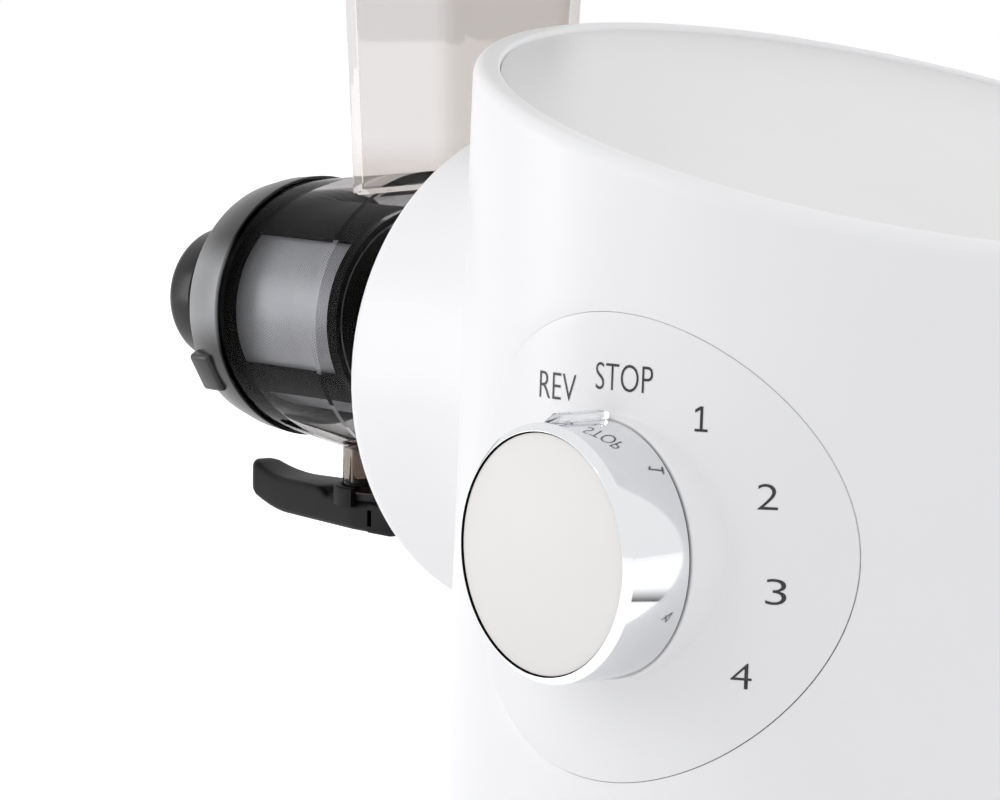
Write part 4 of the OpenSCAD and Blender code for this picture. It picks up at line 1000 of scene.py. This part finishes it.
def makeEndCap():
    rear, front, bore, spout = cap["rear"], cap["front"], cap["bore"], cap["spout"]
    end, hole, inner = cap["spoutEnd"], cap["hole"], cap["inner"]
    shoulder, soft = cap["shoulder"]
    dish, deep = cap["dish"]
    floor = front - deep
    bm = turned([
        (bore, rear), *cap["skirt"], (shoulder, front, soft), (dish, front, 0.2), (dish, floor, 0.2),
        (spout, floor, 0.6), (spout, end, 0.5), (hole, end, 0.3), (hole, inner, 0.3),
        (bore, inner)], aroundDrum, cap["columns"], 4)
    near, far = cap["tabRadii"]
    half = cap["tabHalf"]
    for angle in cap["tabAngles"]:
        a = radians(angle)

        def place(p, a=a):
            return (-p[2], p[0] * sin(a) + p[1] * cos(a), drumAxis + p[0] * cos(a) - p[1] * sin(a))
        roundedBlock(bm, (near, -half, rear + 0.2), (far, half, front - 1.2), place, cap["tabRound"])
    # the end cap's grey band at the axis height is a painted reflection
    addPiece("endCap", bm, capPaintedReflection, "cap_unit", ["end_cap"], sharp=45)


nozzle = {
    "rear": 196.6,
    "front": 221.6,
    "radius": 16.4,
    "frontRound": 3.2,
    "exit": 8.5,
    "exitFrom": 212.4,
    "bore": 12.8,
    "neck": (11.9, 205),  # radius and reach where the bore narrows
    "groove": (211.5, 0.25, 0.5),  # reach, depth and width of the line round it
    "columns": 144,
}


def makeNozzle():
    rear, front, r, hole = nozzle["rear"], nozzle["front"], nozzle["radius"], nozzle["exit"]
    band, deep, wide = nozzle["groove"]
    neck, neckReach = nozzle["neck"]
    bm = turned([
        (nozzle["bore"], rear), (r, rear, 0.4), (r, band, 0.1), (r - deep, band, 0.05),
        (r - deep, band + 0.3, 0.1), (r, band + wide, 0.2), (r, front, nozzle["frontRound"]),
        (hole, front, 0.6), (hole, nozzle["exitFrom"], 0.5), (neck, neckReach, 0.3),
        (nozzle["bore"], neckReach, 0.1)], aroundDrum, nozzle["columns"], 5)
    addPiece("pulpNozzle", bm, blackGloss, "nozzle", ["pulp_nozzle"], sharp=45)


lever = {
    "pin": (142.0, 111.1),  # reach and height
    "top": 114.6,
    "step": (167.5, 171.0, 1.5),  # the top rises past the spout, from, to and by
    "thick": 7.0,
    "bendFrom": 187.5,
    "bend": 41.0,
    "tip": 204.5,
    "tipThin": 0.1,
    "wide": 10.5,
    "narrow": 4.5,
    "narrowFrom": 156,
    "slot": 3.3,
    "bodyFrom": 147.0,
    "armFrom": 149.5,
    "rearRound": 0.9,
    "stations": 26,
    "edge": 1.6,  # radius of the long edges
    "armEdge": 0.7,
    "collar": (10.35, 12.1, 113.2, 117.6),  # round the spout's mouth: radii, foot and top
    "collarAt": 156,
    "collarEdges": (0.6, 0.4),
    "collarHalf": 100,  # degrees each way from the tip
}


def leverRise(run, radius):
    return radius - sqrt(radius * radius - run * run) if run > 0 else 0


def leverRing(reach, width, share):
    run = reach - lever["bendFrom"]
    thick = lever["thick"]
    thin = lever["tipThin"] * max(0, run) / (lever["tip"] - lever["bendFrom"])
    first, last, rise = lever["step"]
    t = max(0, min(1, (reach - first) / (last - first)))
    top = lever["top"] + rise * t * t * (3 - 2 * t) + leverRise(run, lever["bend"])
    low = lever["top"] - thick * (1 - thin) + leverRise(run, lever["bend"] + thick)
    middle, tall = (top + low) / 2, (top - low) / 2 * share
    soft = min(lever["edge"], tall * 0.9, width * 0.9)
    ring = []
    for corner, (sy, sz) in enumerate(((1, 1), (-1, 1), (-1, -1), (1, -1))):
        for k in range(5):
            a = pi / 2 * (corner + k / 4)
            ring.append((-reach, sy * (width - soft) + soft * cos(a),
                         middle + sz * (tall - soft) + soft * sin(a)))
    return ring


def capEnds(bm, rings):  # a flat face on the first and the last ring
    bm.faces.new(rings[0])
    bm.faces.new(rings[-1][::-1])


def addLeverArm(bm, side):  # one of the two arms that take the pin
    pinReach, pinZ = lever["pin"]
    half = lever["thick"] / 2
    root = lever["armFrom"]
    turns = [pi * k / 12 for k in range(13)]
    outline = [(pinReach - half * sin(a), pinZ + half * cos(a)) for a in turns]
    outline += [(root, pinZ - half), (root, pinZ + half)]
    near, far, soft = lever["slot"], lever["wide"], lever["armEdge"]
    loops = []
    for y, inset in ((near, 0.35), (near + 0.12, 0.1), (near + 0.35, 0), (far - soft, 0),
                     (far - soft * 0.3, 0.2), (far, soft)):
        scale = 1 - inset / half
        loop = []
        for reach, z in outline:
            x = pinReach + (reach - pinReach) * (scale if reach < pinReach + 1 else 1)
            loop.append((-x, side * y, pinZ + (z - pinZ) * scale))
        loops.append(loop)
    capEnds(bm, ringFaces(bm, loops))


def addLeverCollar(bm):  # half collar on the tip's side of the spout
    inner, outer, foot, top = lever["collar"]
    outerSoft, innerSoft = lever["collarEdges"]
    section = softPath([(inner, foot), (outer, foot), (outer, top, outerSoft),
                        (inner, top, innerSoft)], 3, True)
    half = lever["collarHalf"]
    loops = []
    for k in range(37):
        a = radians(-half + 2 * half * k / 36)
        loops.append([(-(lever["collarAt"] + r * cos(a)), r * sin(a), z) for r, z in section])
    capEnds(bm, ringFaces(bm, loops))


def makeLever():
    bm = bmesh.new()
    wide, narrow, start, count = lever["wide"], lever["narrow"], lever["bodyFrom"], lever["stations"]
    tipCentre = lever["tip"] - narrow
    widest = lever["narrowFrom"]
    rings = []
    rear = lever["rearRound"]
    for inset in (0.8, 0.35, 0.1):  # rounded rear end
        reach = start + rear - sqrt(rear * rear - inset * inset)
        rings.append(leverRing(reach, wide - inset, 1 - inset / 3))
    for k in range(count + 1):
        reach = start + 1 + (tipCentre - start - 1) * k / count
        share = max(0, min(1, (reach - widest) / (tipCentre - widest)))
        rings.append(leverRing(reach, wide + (narrow - wide) * share, 1))
    for k in range(1, 12):
        t = pi / 2 * k / 12
        rings.append(leverRing(tipCentre + narrow * sin(t), narrow * cos(t), max(0.35, cos(t) ** 0.35)))
    capEnds(bm, ringFaces(bm, rings))
    for side in (-1, 1):
        addLeverArm(bm, side)
    addLeverCollar(bm)
    addPiece("juiceFlap", bm, leverBlack, "flap", ["juice_flap"], sharp=50)


makeEndCap()
makeNozzle()
makeLever()
softened("hopper_tray", "hopperTray", 0.5, trayClear, "hopper")
softened("pusher", "pusherTube", 0.5, pusherClear, "pusher_unit")
softened("pusher_cap", "pusherCap", 1.0, blackGloss, "pusher_unit", 3)
print("stage: cap, nozzle, flap and hopper made")


# The other solids get their finishes as they are
dress(paleGrey, "base_plate", "drum_socket")
dress(blackRubber, "rubber_feet", "cord_gland", "hub_seal", "flap_pad")
dress(screwSteel, "base_screws", "bracket_screws", "gearbox_screws")
dress(plateSteel, "motor_bracket", "motor_can", "switch_nut")
dress(caseGrey, "gearbox_case", "gearbox_cover")
dress(bronze, "output_bearing", "motor_bushes", "knob_spindle")
dress(gearSteel, "gear_axle", "rotor_shaft", "motor_pinion", "output_gear", "drive_hub",
      "auger_shaft", "flap_pin")
dress(switchBlack, "motor_end_bell", "speed_switch", "cooling_fan")
dress(ferriteGrey, "field_magnets")
dress(windingCopper, "rotor_core")
dress(boardGreen, "control_board")
dress(gearNylon, "reduction_gear")
dress(silicone, "drum_seal", "auger_seal", "cap_seal")
dress(smokyClear, "drum")
dress(spoutClear, "juice_outlet")
dress(chuteClear, "feed_chute")
dress(meshSteel, "screen_mesh")
dress(blackSatin, "screen_frame", "auger")
print("stage: carried solids dressed")


# Room, lights and camera
room = {
    "ambient": 0.78,  # what matt surfaces get from all round
    "floorGlow": 0.5,  # lifts the seen floor to white, and leaves its shadow
    "floorHalf": 6,
}
lamps = {  # place, power, size, and whether mirrors show it
    "stripLight": ((-1.14, -0.95, 0.2), 4.7, (0.42, 1.0), True),
    "keyLight": ((-0.55, -1.5, 1.15), 4.0, (1.3, 1.0), True),
    "fillLight": ((1.4, 0.9, 1.2), 3, (1.2, 1.0), False),
}
lampAim = Vector((0, 0, 0.15))
card = {"spot": (179, 60), "half": 37.6, "low": 4, "high": 46}  # darkens one band of the knob's side


def pathMask(tree):  # 1 for what the camera, mirrors and clear parts see
    path = addNode(tree, "ShaderNodeLightPath")
    seen = mathNode(tree, "MAXIMUM", path.outputs["Is Camera Ray"], path.outputs["Is Glossy Ray"])
    return mathNode(tree, "MAXIMUM", seen, path.outputs["Is Transmission Ray"])


def makeWorld():
    sky = bpy.data.worlds.new("studio")
    scene.world = sky
    sky.use_nodes = True
    tree = sky.node_tree
    shell = tree.nodes["Background"]
    shell.inputs["Color"].default_value = (1, 1, 1, 1)
    strength = ranged(tree, pathMask(tree), 0.0, 1.0, room["ambient"])
    tree.links.new(strength, shell.inputs["Strength"])


def stagePlane(name, corners, material):
    mesh = bpy.data.meshes.new(name)
    mesh.from_pydata(corners, [], [(0, 1, 2, 3)])
    plane = newObject(name, mesh)
    mesh.materials.append(material)
    return plane


def makeFloor():
    material, tree, shader = newMaterial("floorWhite")
    tree.links.new(twoTones(tree, ("#F2F2F2", "#F0F0F0"), Scale=3.0), shader.inputs["Base Color"])
    setSockets(shader, {"Roughness": 0.9, "Specular IOR Level": 0.1, "Emission Color": (1, 1, 1, 1)})
    glow = times(tree, pathMask(tree), room["floorGlow"])
    tree.links.new(glow, shader.inputs["Emission Strength"])
    h = room["floorHalf"]
    stagePlane("floor", [(-h, -h, 0), (h, -h, 0), (h, h, 0), (-h, h, 0)], material)


def makeLamp(name, spot, power, size, mirrored):
    lamp = bpy.data.lights.new(name, "AREA")
    lamp.energy = power
    lamp.shape = "RECTANGLE"
    lamp.size, lamp.size_y = size
    holder = newObject(name, lamp)
    holder.location = spot
    holder.rotation_euler = (lampAim - Vector(spot)).to_track_quat("-Z", "Y").to_euler()
    holder.visible_glossy = mirrored


def makeCard():  # dark card that only mirrors see, fading out upwards
    material, tree, shader = newMaterial("knobFlag")
    low, high = card["low"], card["high"]
    fade = ranged(tree, objectSpot(tree)[2], low * mm, high * mm, 1.0, 0.0)
    tree.links.new(twoTones(tree, ("#1A1A1C", "#242426"), Scale=2.0), shader.inputs["Base Color"])
    tree.links.new(fade, shader.inputs["Alpha"])
    (x, y), side = card["spot"], card["half"] * sqrt(0.5)
    corners = [(x + side, y - side, low), (x - side, y + side, low), (x - side, y + side, high),
               (x + side, y - side, high)]
    plane = stagePlane("knobFlag", [world(p) for p in corners], material)
    for ray in ("camera", "diffuse", "shadow", "transmission", "volume_scatter"):
        setattr(plane, "visible_" + ray, False)


makeWorld()
makeFloor()
for name, values in lamps.items():
    makeLamp(name, *values)
makeCard()

view = {
    "spot": (627.713, -629.365, 250.061),
    "right": (0.64524, 0.76384, 0.01428),
    "up": (-0.09402, 0.06084, 0.99371),
    "ahead": (-0.75817, 0.64253, -0.11107),
    "lens": 155.9,
}


def makeCamera():
    lens = bpy.data.cameras.new("camera")
    lens.lens = view["lens"]
    lens.sensor_width = 36
    lens.clip_start = 0.01
    lens.clip_end = 100
    camera = newObject("camera", lens)
    right, up, back = Vector(view["right"]), Vector(view["up"]), -Vector(view["ahead"])
    turn = Matrix((right, up, back)).transposed().to_4x4()
    camera.matrix_world = Matrix.Translation(world(view["spot"])) @ turn
    scene.camera = camera


makeCamera()
scene.view_settings.view_transform = "Standard"
print("stage: room, lights and camera set")
